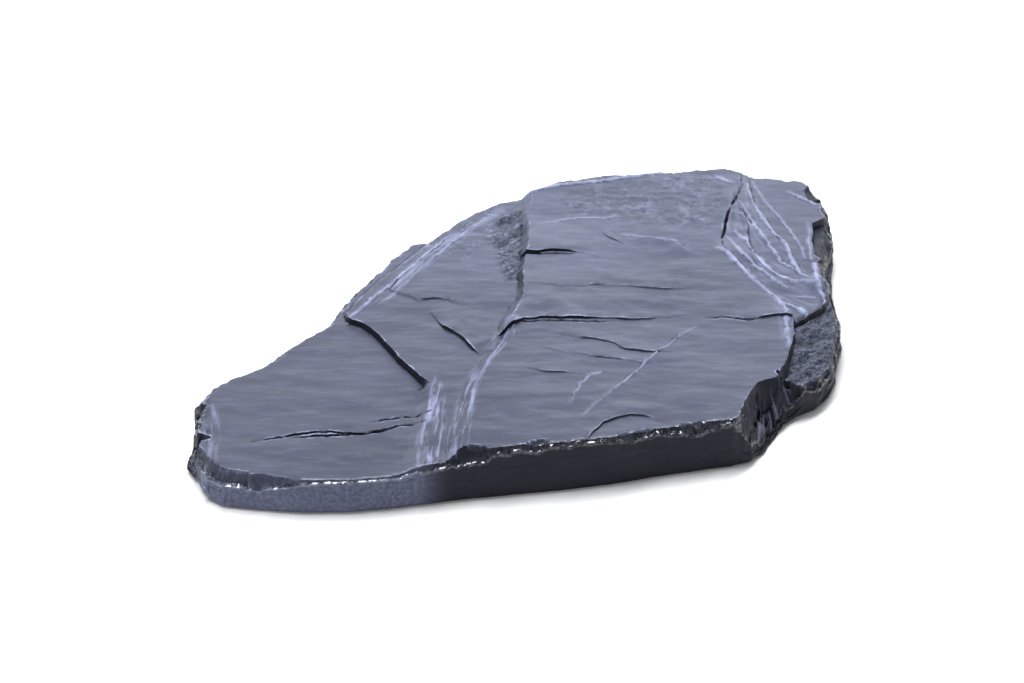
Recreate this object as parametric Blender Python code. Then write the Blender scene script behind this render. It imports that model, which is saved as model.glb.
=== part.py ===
"""A slab of dark slate, cleft along its bedding and broken all round, lying on its flat underside.

The slab is one solid. Its top is a stack of beds: each bed is an outline in plan with a plane for its top, and it
falls away outside that outline at the slope of its broken edge. The highest bed at a point is the surface there, so
ledges appear wherever one bed ends on another. Ledges inside a bed, cracks and chips are added to that, and the
outline's wall is extruded down, lamina by lamina, to the underside.

Plan sizes and heights are in millimetres, x to the right, y away from the front edge, z up. MM turns them to metres.
"""

import math

import bmesh
import bpy
import numpy as np
from mathutils import Vector, noise
from mathutils.geometry import delaunay_2d_cdt
from mathutils.kdtree import KDTree

MM = 0.001
NAME = "slate_slab"

# Mesh: how far apart the points lie on the top, along the rims and ledges, and on the underside.
TOP_SPACING = 4.0
LINE_SPACING = 3.4
UNDERSIDE_SPACING = 11.0
CLEARANCE = 0.6  # share of the spacing that a fill point keeps from a line
LINE_MARGIN = 0.8
MERGE = 0.05

# The origin is under the middle of the slab's box, which lies here in the plan that follows.
MIDDLE = (2.455, 6.228)

# The slab's outline, anticlockwise from the front left corner: x, y, the width of the chamfer on its rim, and how far
# the lower laminae of the wall stand out beyond the rim.
OUTLINE = [
    (-98.3, -60.5, 1.8, 0.2), (-95.2, -68.0, 2.8, 0.2), (-90.0, -71.7, 2.8, 0.1), (-79.0, -73.3, 1.8, 0.0),
    (-66.0, -75.0, 0.6, 0.0), (-51.0, -74.8, 0.2, 0.0), (-38.0, -73.0, 0.3, 0.0), (-26.0, -70.8, 0.8, 0.0),
    (-14.0, -68.5, 1.4, 0.0), (0.0, -66.5, 0.7, 0.0), (14.0, -64.5, 0.3, 0.0), (30.0, -61.5, 0.3, 0.0),
    (42.0, -58.5, 0.3, 0.0), (52.0, -56.0, 0.5, 0.0), (62.0, -53.8, 0.4, 0.0), (69.0, -52.5, 0.4, 0.0),
    (75.0, -49.5, 0.5, 0.4), (78.0, -46.0, 0.6, 0.6), (82.0, -39.0, 0.6, 0.6), (86.0, -31.5, 0.6, 0.5),
    (91.3, -27.2, 0.8, 0.2), (97.5, -23.5, 0.8, 0.0), (101.3, -18.3, 0.9, 0.0), (103.8, -10.5, 1.0, 0.0),
    (105.3, -1.0, 1.2, 0.0), (106.0, 8.0, 1.2, 0.0), (105.5, 15.0, 1.5, 0.4), (103.5, 20.5, 1.0, 1.6),
    (102.5, 27.0, 1.0, 2.2), (102.5, 34.0, 1.5, 2.4), (104.5, 42.0, 2.0, 1.4), (106.0, 50.0, 2.0, 0.4),
    (106.0, 58.0, 2.0, 0.0), (105.5, 67.0, 2.5, 0.4), (103.5, 76.0, 3.0, 1.0), (99.0, 81.0, 2.5, 1.2),
    (89.0, 82.5, 2.0, 0.6), (79.5, 84.0, 2.0, 0.0), (72.5, 87.2, 2.0, 0.0), (65.0, 86.2, 2.0, 0.4),
    (52.0, 83.8, 2.0, 1.4), (32.0, 82.5, 2.5, 2.0), (15.5, 78.5, 2.5, 1.2), (5.0, 73.0, 2.0, 0.4),
    (-5.0, 68.5, 1.5, 0.0), (-11.5, 63.8, 1.0, 0.0), (-17.5, 61.5, 1.0, 0.6), (-21.0, 57.0, 1.5, 1.2),
    (-28.0, 51.5, 2.0, 1.4), (-34.5, 48.5, 2.0, 1.0), (-39.5, 42.5, 2.0, 0.4), (-43.5, 36.0, 2.0, 0.0),
    (-49.0, 28.5, 2.0, 0.4), (-54.5, 19.5, 2.0, 1.2), (-57.5, 10.0, 1.5, 1.4), (-64.5, 1.0, 1.0, 0.8),
    (-72.0, -6.5, 1.0, 0.2), (-78.0, -13.5, 1.0, 0.0), (-85.5, -20.0, 1.0, 0.6), (-90.5, -22.5, 1.0, 0.8),
    (-96.5, -28.5, 1.5, 0.4), (-100.0, -34.5, 1.5, 0.0), (-99.5, -43.0, 1.0, 0.0), (-100.0, -49.5, 1.0, 0.4),
    (-101.8, -53.5, 1.0, 0.6),
]
CHAMFER_STEEPNESS = 1.9  # height lost on the chamfer over its width

# Beds, lowest first: the plane of the top (height at the plan's zero, rise per mm along x and along y), and the
# outline: x, y and the fall per mm outside it. Where a bed runs to the slab's edge, its outline passes beyond.
ROOT_BED = {"plane": (5.0, 0.0, 0.0), "edge": [(-120, -95, 2), (125, -95, 2), (125, 100, 2), (-120, 100, 2)]}
WING_BED = {
    "plane": (13.6, 0.004, 0.002),
    "edge": [(-120, -95, 3), (60, -95, 3), (60, -30, 3), (60, 90, 3), (-120, 90, 3)],
}
MID_BED = {
    "plane": (16.35, 0.02, 0.0),
    "edge": [
        (-28.5, -80.0, 0.35), (-27.5, -65.0, 0.35), (-26.0, -50.0, 0.4), (-25.0, -36.0, 0.5), (-26.3, -28.5, 0.55),
        (-29.2, -25.0, 4.0), (-33.0, -19.0, 4.0), (-35.5, -16.0, 4.0), (-38.5, -10.0, 4.0), (-42.5, -3.5, 4.0),
        (-47.5, 2.0, 4.0), (-53.0, 6.0, 4.0), (-53.0, 9.0, 1.2), (-47.0, 19.5, 1.0), (-39.5, 30.0, 1.0),
        (-31.0, 40.0, 1.0), (-22.5, 51.0, 1.0), (-14.5, 59.5, 1.0), (-6.5, 66.0, 1.0), (5.0, 80.0, 1.0),
        (40.0, 80.0, 1.0), (40.0, -80.0, 1.0),
    ],
}
UPPER_MID_BED = {
    "plane": (16.75, 0.017, -0.002),
    "edge": [
        (-17.0, 12.5, 0.15), (-21.5, 14.8, 0.8), (-27.0, 14.6, 1.5), (-30.0, 14.8, 0.6), (-35.0, 17.8, 0.4),
        (-39.0, 20.0, 1.0), (-36.5, 26.5, 1.0), (-29.0, 36.5, 1.0), (-21.0, 46.5, 1.0), (-13.5, 56.5, 1.0),
        (-3.0, 64.0, 1.0), (6.0, 66.0, 1.0), (4.0, 12.0, 0.2), (-8.0, 12.0, 0.12),
    ],
}
RIGHT_BED = {
    "plane": (19.4, -0.012, -0.008),
    "edge": [
        (-15.0, -80.0, 0.9), (-15.5, -61.0, 0.8), (-14.0, -52.0, 0.7), (-12.0, -41.0, 0.7), (-12.5, -38.0, 0.8),
        (-9.0, -27.0, 0.8), (-6.0, -20.5, 0.8), (0.5, -7.5, 0.9), (0.0, 0.5, 1.0), (3.5, 11.0, 1.2),
        (4.0, 19.0, 1.6), (3.8, 26.0, 1.4), (5.0, 38.5, 1.2), (5.8, 50.0, 0.9), (5.5, 58.0, 0.75),
        (6.5, 68.0, 0.8), (7.0, 90.0, 0.8), (75.0, 95.0, 2.0), (76.5, 79.0, 2.0), (74.5, 70.0, 2.5),
        (73.5, 65.0, 3.0), (71.0, 55.0, 3.0), (68.5, 46.0, 3.0), (69.0, 41.0, 1.5), (74.0, 32.5, 1.2),
        (81.0, 17.5, 1.2), (87.8, 8.0, 1.2), (90.5, 2.0, 9.0), (90.5, -5.0, 9.0), (90.0, -10.0, 9.0),
        (87.5, -19.0, 7.0), (85.7, -24.0, 4.0), (84.2, -29.0, 3.0), (81.0, -30.2, 2.4), (77.5, -32.5, 2.4),
        (75.0, -36.5, 2.4), (73.0, -43.0, 2.4), (71.2, -48.5, 2.4), (68.0, -54.5, 2.6), (60.0, -90.0, 2.5),
    ],
}
LOBE_BED = {
    "plane": (21.5, -0.048, -0.010),
    "edge": [
        (66.0, 90.0, 2), (64.0, 40.0, 2), (80.0, 5.0, 2), (90.2, 0.0, 5), (92.2, 1.7, 5), (95.5, 5.0, 5),
        (99.6, 9.0, 5), (101.5, 13.0, 5), (103.0, 22.0, 4), (125.0, 24.0, 3), (125.0, 95.0, 3),
    ],
}
SHELF_BED = {
    "plane": (36.2, -0.229, 0.114),
    "edge": [
        (84.0, -18.0, 3.0), (84.8, -23.5, 3.0), (87.5, -25.0, 3.0), (91.5, -26.0, 3.0), (95.0, -29.5, 2.0),
        (97.0, -36.0, 2.0),
        (125.0, -36.0, 2.0), (125.0, 24.0, 2.0), (100.0, 24.0, 3.0), (91.0, 8.0, 3.0), (85.0, 3.0, 3.0),
    ],
}
CORNER_BED = {
    "plane": (118.0, -0.96, 0.9),
    "edge": [
        (86.5, -19.0, 4.0), (83.6, -24.0, 4.0), (80.5, -28.0, 4.0), (76.5, -31.5, 4.0), (73.5, -36.0, 4.0),
        (71.0, -44.0, 4.0), (68.0, -56.0, 4.0), (90.0, -50.0, 2.0), (98.0, -32.0, 2.0), (92.0, -24.5, 2.0),
        (88.5, -20.0, 2.0),
    ],
}

# Ledges inside a bed: the surface steps up from the right of the path to its left. Each point is x, y and the
# height of the step there. WALL is the width of the step in plan, and the raised side sinks back over "reach".
WALL = 0.5
RIGHT_LEDGES = [
    {"reach": 34.0, "path": [(-4.0, -5.0, 1.7), (1.3, -2.0, 1.7), (4.0, 0.0, 1.4), (15.0, 0.6, 0.9),
                             (28.0, 0.8, 0.6), (43.0, 0.6, 0.4), (57.0, 3.6, 0.0)]},
    {"reach": 22.0, "path": [(3.0, 36.2, 0.8), (8.5, 36.5, 0.8), (15.0, 36.8, 0.7), (21.6, 36.3, 0.5),
                             (29.0, 33.5, 0.0)]},
    {"reach": 12.0, "path": [(12.0, -6.5, 0.0), (22.5, -9.5, 0.35), (33.0, -12.6, 0.4), (35.8, -15.7, 0.45),
                             (42.0, -16.8, 0.4), (52.0, -16.5, 0.0)]},
    {"reach": 12.0, "path": [(3.0, -24.5, 0.0), (11.4, -27.6, 0.4), (19.0, -27.6, 0.4), (24.0, -29.5, 0.0)]},
    {"reach": 10.0, "path": [(76.0, 1.0, 0.0), (81.0, 2.0, 0.6), (86.0, 2.6, 0.6), (92.0, 2.6, 0.6)]},
    {"reach": 12.0, "path": [(59.0, 36.5, 0.0), (55.5, 41.5, 0.5), (46.0, 43.8, 0.5), (36.0, 44.0, 0.4),
                             (30.0, 49.0, 0.0)]},
    {"reach": 9.0, "path": [(23.6, -60.8, 0.3), (26.2, -56.8, 0.6), (28.7, -52.9, 0.7), (32.5, -50.9, 0.8),
                            (36.9, -48.9, 0.8), (41.3, -48.9, 0.6), (45.0, -50.9, 0.4), (48.1, -53.4, 0.0)]},
]
LOBE_LEDGES = [
    {"reach": 10.0, "path": [(98.0, 22.5, 0.6), (93.0, 22.0, 0.7), (87.3, 23.7, 0.9), (83.5, 27.5, 1.0),
                             (80.4, 32.0, 1.0), (78.2, 41.0, 1.0), (78.0, 52.0, 1.0), (76.3, 60.0, 0.9),
                             (74.0, 67.0, 0.6), (73.0, 74.0, 0.0)]},
    {"reach": 12.0, "path": [(101.0, 25.0, 0.8), (97.2, 25.6, 1.0), (94.0, 29.0, 1.1), (92.0, 35.0, 1.1),
                             (90.8, 42.0, 1.1), (86.0, 49.6, 1.2), (83.5, 57.4, 1.2), (81.0, 64.0, 1.1),
                             (79.4, 71.0, 0.8), (79.0, 84.0, 0.6)]},
]
MID_LEDGES = [
    {"reach": 16.0, "path": [(-27.0, 8.5, 0.0), (-25.0, 5.6, 0.5), (-21.7, -0.3, 0.9), (-15.8, -6.3, 1.0),
                             (-12.8, -11.1, 0.9), (-10.0, -15.0, 0.0)]},
]

# Cracks: x, y and depth at each point, with the half width of the opening.
CRACK_HALF_WIDTH = 0.7
CRACKS = [
    [(-83.0, -55.5, 0.0), (-73.3, -52.8, 0.9), (-64.0, -50.8, 1.2), (-57.5, -50.0, 1.2), (-47.5, -51.3, 1.1),
     (-41.0, -49.3, 0.7), (-34.6, -47.0, 0.6), (-26.0, -46.3, 0.0)],
]

# Chips broken out of the rim: the middle, the half length along x, the half width along y, the turn in degrees
# and the depth below the bed's top.
CHIPS = [
    (58.0, -54.6, 6.5, 2.3, 8, 1.5),
    (-12.5, -68.5, 6.0, 3.6, 10, 3.2),
    (101.5, 72.0, 5.0, 3.5, -60, 1.6),
]

# Steep-sided notches in the rim: their outlines, which pass beyond the slab's edge, and their depth.
NOTCH_WALL = 1.0
NOTCHES = [
    {"depth": 2.8, "edge": [(115.0, 64.0), (105.0, 60.5), (99.6, 55.5), (98.9, 48.0), (99.2, 38.5), (101.5, 35.5),
                            (115.0, 36.0)]},
    {"depth": 4.0, "edge": [(-112.0, -33.5), (-100.0, -34.5), (-96.4, -36.3), (-97.0, -40.0), (-100.0, -42.5),
                            (-112.0, -42.0)]},
    {"depth": 5.0, "edge": [(-112.0, -50.5), (-100.5, -50.6), (-97.0, -50.8), (-94.0, -52.8), (-97.4, -54.6),
                            (-98.4, -59.0), (-101.0, -60.5), (-112.0, -58.0)]},
]

# Broad undulation of the cleavage faces.
RIPPLE_HEIGHT = 0.24
RIPPLE_LENGTH = 38.0
RIPPLE_ACROSS = 13.0

# The wall: the shares of its height at which its laminae part and the half height of the step there, how far the
# laminae stand in or out and how fast that changes along the edge. The foot is drawn in a little.
LAMINAE = (0.0, 0.22, 0.45, 0.7, 1.0)
LAMINA_GAP = 0.02
STEP_SHARE = 0.5  # the laminae below this share are the ones that stand out at the step
LAMINA_RELIEF = 1.1
LAMINA_RUN = 20.0
FOOT_INSET = 1.3
WELD = 0.001
LONGEST_FALL = 14.0
FALL_STEP = 0.5
LOWEST_RIM = 2.5
CHIP_BOWL = 0.5
CHIP_SIDES = 14
CHIP_RINGS = (0.82, 1.0)
JAG = 0.55  # how far the outline strays from its straight runs
JAG_RUN = 7.0

# Flakes missing from the underside: their outlines, which pass beyond the slab's edge, and how thick they were.
SPALL_WALL = 0.8
SPALLS = [
    {"depth": 1.4, "edge": [(70.0, 100.0), (63.0, 72.0), (74.0, 58.0), (89.0, 52.0), (96.0, 36.0), (125.0, 30.0),
                            (125.0, 100.0)]},
    {"depth": 1.2, "edge": [(-70.0, 50.0), (-48.0, 22.0), (-34.0, 24.0), (-21.0, 36.0), (-2.0, 45.0), (6.0, 61.0),
                            (24.0, 68.0), (30.0, 100.0), (-70.0, 100.0)]},
    {"depth": 1.0, "edge": [(-120.0, -20.0), (-88.0, -31.0), (-80.0, -45.0), (-84.0, -60.0), (-120.0, -66.0)]},
]

BEDS = (
    (ROOT_BED, ()), (WING_BED, ()), (MID_BED, MID_LEDGES), (UPPER_MID_BED, ()),
    (RIGHT_BED, RIGHT_LEDGES), (LOBE_BED, LOBE_LEDGES), (SHELF_BED, ()), (CORNER_BED, ()),
)

SLATE_COLOUR = (0.085, 0.09, 0.125, 1.0)
SLATE_ROUGHNESS = 0.38


def unit_normals(path, closed):
    """The left-hand unit normal at each point of a path."""
    if closed:
        along = np.roll(path, -1, axis=0) - np.roll(path, 1, axis=0)
    else:
        along = np.gradient(path, axis=0)
    left = np.stack([-along[:, 1], along[:, 0]], axis=1)
    return left / np.linalg.norm(left, axis=1, keepdims=True)


def anticlockwise(edge):
    """The closed path turned so that its inside is on its left."""
    x, y = edge[:, 0], edge[:, 1]
    twice_area = np.sum(x * np.roll(y, -1) - y * np.roll(x, -1))
    return edge if twice_area > 0 else edge[::-1]


def resampled(path, spacing, closed):
    """The path with points no further apart than spacing. Columns after x and y are carried along."""
    path = np.asarray(path, float)
    ends = np.vstack([path, path[:1]]) if closed else path
    out = []
    for start, end in zip(ends[:-1], ends[1:]):
        steps = max(1, math.ceil(np.linalg.norm(end[:2] - start[:2]) / spacing))
        out.extend(start + (end - start) * k / steps for k in range(steps))
    if not closed:
        out.append(ends[-1])
    return np.array(out)


def jagged(path, closed=False):
    """The path, resampled and strayed to either side, as a broken edge strays."""
    path = resampled(path, LINE_SPACING, closed)
    strayed = path.copy()
    for point, normal in zip(strayed, unit_normals(path[:, :2], closed)):
        stray = noise.fractal(Vector((point[0] / JAG_RUN, point[1] / JAG_RUN, 3.7)), 0.9, 2.1, 2)
        point[:2] += normal * JAG * stray
    return strayed


def measured(points, path, closed=False):
    """For each point: its distance from the path, +1 left or -1 right of it, and the path's further columns there."""
    starts = path if closed else path[:-1]
    ends = np.roll(path, -1, axis=0) if closed else path[1:]
    turns = ends[:, :2] - starts[:, :2]
    turns = turns / np.linalg.norm(turns, axis=1, keepdims=True)
    before = np.roll(turns, 1, axis=0)
    after = np.roll(turns, -1, axis=0)
    if not closed:
        before[0], after[-1] = turns[0], turns[-1]
    nearest = np.full(len(points), np.inf)
    side = np.ones(len(points))
    carried = np.zeros((len(points), path.shape[1] - 2))
    for k, (start, end) in enumerate(zip(starts, ends)):
        run = end[:2] - start[:2]
        share = np.clip((points - start[:2]) @ run / (run @ run), 0, 1)
        away = points - start[:2] - share[:, None] * run
        distance = np.hypot(away[:, 0], away[:, 1])
        closer = distance < nearest
        heading = np.where((share <= 0)[:, None], before[k] + turns[k], turns[k])
        heading = np.where((share >= 1)[:, None], after[k] + turns[k], heading)
        cross = heading[:, 0] * away[:, 1] - heading[:, 1] * away[:, 0]
        nearest[closer] = distance[closer]
        side[closer] = np.where(cross[closer] >= 0, 1.0, -1.0)
        carried[closer] = (start[2:] + share[:, None] * (end[2:] - start[2:]))[closer]
    return nearest, side, carried


def smoothstep(x):
    x = np.clip(x, 0, 1)
    return x * x * (3 - 2 * x)


def runs(line, wanted):
    """The stretches of a line whose points are all wanted."""
    cuts = np.flatnonzero(np.diff(wanted.astype(int))) + 1
    return [run for run, ok in zip(np.split(line, cuts), np.split(wanted, cuts)) if ok[0]]


def turned(degrees):
    """The matrix whose columns are the plan's axes turned by this much."""
    c, s = math.cos(math.radians(degrees)), math.sin(math.radians(degrees))
    return np.array([[c, -s], [s, c]])


class Form:
    """The slab's lines at this mesh's spacing, and the height of its top and underside at any point of the plan."""

    def __init__(self):
        self.smooth_outline = resampled(OUTLINE, LINE_SPACING, closed=True)
        self.outline = jagged(OUTLINE, closed=True)
        self.beds = []
        for bed, ledges in BEDS:
            edge = anticlockwise(jagged(bed["edge"], closed=True))
            strayed = [{"reach": ledge["reach"], "path": jagged(ledge["path"])} for ledge in ledges]
            self.beds.append({"plane": bed["plane"], "edge": edge, "ledges": strayed})
        self.cracks = [jagged(crack) for crack in CRACKS]
        self.spalls = [
            {"depth": spall["depth"], "edge": anticlockwise(jagged(spall["edge"], closed=True))} for spall in SPALLS
        ]
        self.notches = [
            {"depth": notch["depth"], "edge": anticlockwise(jagged(notch["edge"], closed=True))} for notch in NOTCHES
        ]

    def bed_height(self, points, bed):
        """A bed's plane and ledges, less its fall outside its outline."""
        base, along_x, along_y = bed["plane"]
        height = base + along_x * points[:, 0] + along_y * points[:, 1]
        for ledge in bed["ledges"]:
            distance, side, carried = measured(points, ledge["path"])
            signed = distance * side
            raised = 1 - smoothstep(signed / ledge["reach"])
            face = np.clip(1 + signed / WALL, 0, 1)
            height += carried[:, 0] * np.where(signed >= 0, raised, face)
        distance, side, carried = measured(points, bed["edge"], closed=True)
        return height - np.where(side < 0, distance * carried[:, 0], 0)

    def top(self, points):
        height = np.max([self.bed_height(points, bed) for bed in self.beds], axis=0)
        height += [
            RIPPLE_HEIGHT * noise.fractal(Vector((x / RIPPLE_LENGTH, y / RIPPLE_ACROSS, 0.4)), 0.8, 2.0, 3)
            for x, y in points
        ]
        for crack in self.cracks:
            distance, _, carried = measured(points, crack)
            height -= carried[:, 0] * np.clip(1 - distance / CRACK_HALF_WIDTH, 0, 1)
        for x, y, half_length, half_width, turn, depth in CHIPS:
            along, across = ((points - (x, y)) @ turned(turn) / (half_length, half_width)).T
            height -= depth * np.clip(1 - along**2 - across**2, 0, None) ** CHIP_BOWL
        for notch in self.notches:
            distance, side, _ = measured(points, notch["edge"], closed=True)
            height -= notch["depth"] * np.clip(side * distance / NOTCH_WALL, 0, 1)
        distance, _, carried = measured(points, self.outline, closed=True)
        height -= CHAMFER_STEEPNESS * np.clip(carried[:, 0] - distance, 0, None)
        return np.maximum(height, LOWEST_RIM)

    def underside(self, points):
        height = np.zeros(len(points))
        for spall in self.spalls:
            distance, side, _ = measured(points, spall["edge"], closed=True)
            height = np.maximum(height, spall["depth"] * np.clip(side * distance / SPALL_WALL, 0, 1))
        return height

    def foot(self, bed):
        """The line where a bed's broken edge ends on the beds around it, and which points of its rim show above them."""
        rim = bed["edge"][:, :2]
        outward = -unit_normals(rim, closed=True)
        others = [other for other in self.beds if other is not bed]
        reach = np.full(len(rim), np.inf)
        for out in np.arange(0.0, LONGEST_FALL, FALL_STEP):
            points = rim + out * outward
            clear = self.bed_height(points, bed) - np.max([self.bed_height(points, other) for other in others], axis=0)
            reach[(clear <= 0) & np.isinf(reach)] = out
        shows = reach > 0
        return rim + np.minimum(reach, LONGEST_FALL)[:, None] * outward, shows

    def top_lines(self):
        """The lines that the top's mesh follows: chamfer, rims and feet of the beds, both sides of ledges, cracks."""
        rim = self.outline[:, :2]
        chamfer = rim + self.outline[:, 2:3] * unit_normals(rim, closed=True)
        lines = [np.vstack([chamfer, chamfer[:1]])]
        for bed in self.beds[1:]:
            foot, shows = self.foot(bed)
            shows = np.append(shows, shows[0])
            for line in (bed["edge"][:, :2], foot):
                lines += runs(np.vstack([line, line[:1]]), shows)
            for ledge in bed["ledges"]:
                path = ledge["path"][:, :2]
                lines += [path, path - WALL * unit_normals(path, closed=False)]
        for crack in self.cracks:
            path = crack[:, :2]
            beside = CRACK_HALF_WIDTH * unit_normals(path, closed=False)
            lines += [path, path + beside, path - beside]
        for x, y, half_length, half_width, turn, _ in CHIPS:
            angles = np.linspace(0, 2 * math.pi, CHIP_SIDES + 1)
            circle = np.column_stack([np.cos(angles), np.sin(angles)])
            lines += [(x, y) + share * circle * (half_length, half_width) @ turned(turn).T for share in CHIP_RINGS]
        for notch in self.notches:
            edge = notch["edge"]
            within = edge + NOTCH_WALL * unit_normals(edge, closed=True)
            lines += [np.vstack([edge, edge[:1]]), np.vstack([within, within[:1]])]
        return lines

    def underside_lines(self):
        lines = []
        for spall in self.spalls:
            edge = spall["edge"]
            within = edge + SPALL_WALL * unit_normals(edge, closed=True)
            lines += [np.vstack([edge, edge[:1]]), np.vstack([within, within[:1]])]
        return lines


def inside(points, ring, margin):
    """Which points lie inside the ring by more than margin."""
    distance, side, _ = measured(points, ring, closed=True)
    return (side > 0) & (distance > margin)


def fill_points(low, high, spacing):
    """A lattice of triangles over the box, row by row."""
    points = []
    row_gap = spacing * math.sqrt(3) / 2
    for row in range(math.ceil((high[1] - low[1]) / row_gap)):
        y = low[1] + row * row_gap
        offset = spacing / 2 * (row % 2)
        points += [(x, y) for x in np.arange(low[0] + offset, high[0], spacing)]
    return np.array(points)


def plan_mesh(ring, lines, spacing):
    """(points, triangles) over the ring's inside, with the lines as edges where they are clear of the ring."""
    points = [tuple(p) for p in ring]
    edges = [(k, (k + 1) % len(ring)) for k in range(len(ring))]
    for line in lines:
        for run in runs(line, inside(line, ring, LINE_MARGIN)):
            edges += [(len(points) + k, len(points) + k + 1) for k in range(len(run) - 1)]
            points += [tuple(p) for p in run]
    tree = KDTree(len(points))
    for k, (x, y) in enumerate(points):
        tree.insert((x, y, 0), k)
    tree.balance()
    lattice = fill_points(ring.min(axis=0), ring.max(axis=0), spacing)
    lattice = lattice[inside(lattice, ring, spacing * CLEARANCE)]
    points += [(x, y) for x, y in lattice if tree.find((x, y, 0))[2] > spacing * CLEARANCE]
    found = delaunay_2d_cdt([Vector(p) for p in points], edges, [], 1, MERGE)
    return np.array([tuple(v) for v in found[0]]), found[2]


def wall_rings(form):
    """The rings of the wall from the rim down to the foot, each an array of x, y, z. Each lamina has two."""
    rim = form.outline[:, :2]
    outward = -unit_normals(form.smooth_outline[:, :2], closed=True)
    rows = []
    for level, (low, high) in enumerate(zip(LAMINAE[:-1], LAMINAE[1:])):
        relief = [noise.fractal(Vector((x / LAMINA_RUN, y / LAMINA_RUN, 5.3 * level)), 0.8, 2.2, 3) for x, y in rim]
        out = LAMINA_RELIEF * np.array(relief) + (form.outline[:, 3] if high < STEP_SHARE else 0)
        rows += [(low + LAMINA_GAP, out), (high - LAMINA_GAP, out)]
    rows[0] = (0.0, rows[0][1] - FOOT_INSET)
    rows[-1] = (1.0, np.zeros(len(rim)))
    bottom, top = form.underside(rim + outward * rows[0][1][:, None]), form.top(rim)
    rings = [np.column_stack([rim + outward * out[:, None], bottom + (top - bottom) * share]) for share, out in rows]
    return rings[::-1]


def slab_mesh():
    form = Form()
    rings = wall_rings(form)
    bm = bmesh.new()

    def sheet(points, triangles, heights):
        verts = [bm.verts.new(Vector((x, y, z))) for (x, y), z in zip(points, heights)]
        for triangle in triangles:
            bm.faces.new([verts[k] for k in triangle])

    points, triangles = plan_mesh(rings[0][:, :2], form.top_lines(), TOP_SPACING)
    sheet(points, triangles, form.top(points))
    points, triangles = plan_mesh(rings[-1][:, :2], form.underside_lines(), UNDERSIDE_SPACING)
    sheet(points, triangles, form.underside(points))
    for upper, lower in zip(rings[:-1], rings[1:]):
        above = [bm.verts.new(place) for place in upper]
        below = [bm.verts.new(place) for place in lower]
        for k in range(len(above)):
            after = (k + 1) % len(above)
            bm.faces.new((above[k], below[k], below[after], above[after]))
    bmesh.ops.remove_doubles(bm, verts=bm.verts, dist=WELD)
    bmesh.ops.triangulate(bm, faces=[face for face in bm.faces if len(face.verts) > 3])
    bmesh.ops.translate(bm, verts=bm.verts, vec=(-MIDDLE[0], -MIDDLE[1], 0))
    bmesh.ops.scale(bm, verts=bm.verts, vec=(MM, MM, MM))
    bmesh.ops.recalc_face_normals(bm, faces=bm.faces)
    mesh = bpy.data.meshes.new(NAME)
    bm.to_mesh(mesh)
    bm.free()
    return mesh


def slate_material():
    material = bpy.data.materials.new("wet_slate")
    material.use_nodes = True
    shader = material.node_tree.nodes["Principled BSDF"]
    shader.inputs["Base Color"].default_value = SLATE_COLOUR
    shader.inputs["Roughness"].default_value = SLATE_ROUGHNESS
    shader.inputs["Metallic"].default_value = 0.0
    return material


def main():
    for obj in list(bpy.data.objects):
        bpy.data.objects.remove(obj)
    parts = bpy.data.collections.new("slate slab")
    bpy.context.scene.collection.children.link(parts)
    slab = bpy.data.objects.new(NAME, slab_mesh())
    slab.data.materials.append(slate_material())
    parts.objects.link(slab)


if __name__ == "__main__":
    main()
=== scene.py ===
import math

import bmesh
import bpy
import numpy as np
from bpy.props import FloatProperty, FloatVectorProperty, IntProperty, PointerProperty
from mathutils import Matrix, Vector, noise
from mathutils.geometry import delaunay_2d_cdt
from mathutils.kdtree import KDTree


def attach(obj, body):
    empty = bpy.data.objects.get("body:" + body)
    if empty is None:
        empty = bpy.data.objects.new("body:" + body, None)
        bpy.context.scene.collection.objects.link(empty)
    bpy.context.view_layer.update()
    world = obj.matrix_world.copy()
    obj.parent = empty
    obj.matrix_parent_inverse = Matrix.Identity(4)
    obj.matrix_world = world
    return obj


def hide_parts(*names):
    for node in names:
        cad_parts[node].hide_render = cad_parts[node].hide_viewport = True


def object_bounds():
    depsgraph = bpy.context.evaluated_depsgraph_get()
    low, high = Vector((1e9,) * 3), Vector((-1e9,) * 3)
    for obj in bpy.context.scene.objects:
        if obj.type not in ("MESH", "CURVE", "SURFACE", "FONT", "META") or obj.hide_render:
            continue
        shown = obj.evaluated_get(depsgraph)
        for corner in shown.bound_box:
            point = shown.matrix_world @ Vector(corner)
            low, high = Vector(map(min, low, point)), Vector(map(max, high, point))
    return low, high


bl_info = {
    "name": "Slate Slab",
    "version": (1, 0, 0),
    "blender": (4, 5, 0),
    "location": "View3D > Sidebar > Slate Slab",
    "description": "A wet slab of dark slate, cleft along its bedding, on a pale studio floor",
    "category": "Add Mesh",
}

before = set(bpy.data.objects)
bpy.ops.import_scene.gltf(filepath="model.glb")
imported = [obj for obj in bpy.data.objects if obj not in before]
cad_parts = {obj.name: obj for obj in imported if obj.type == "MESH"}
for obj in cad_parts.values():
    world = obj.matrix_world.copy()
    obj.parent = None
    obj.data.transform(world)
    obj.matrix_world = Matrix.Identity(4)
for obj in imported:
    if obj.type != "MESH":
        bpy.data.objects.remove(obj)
CAD_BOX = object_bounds()
NODE = "slate_slab"

# Plan sizes and heights are in mm, x to the right, y away from the front edge, z up. MM turns them to metres.
MM = 0.001

# The origin is under the middle of the slab's box, which lies here in the plan that follows.
MIDDLE = (2.455, 6.228)

# A "noise" is how long its features run in x, how wide they are in y, the level that it is cut at and its
# octaves, then its roughness where that isn't the usual one. Stepped relief breaks it into treads. What
# varies over the slab does so around its mean, by up to its swing, and stays between its least and its most.
LACUNARITY = 2.1

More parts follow.
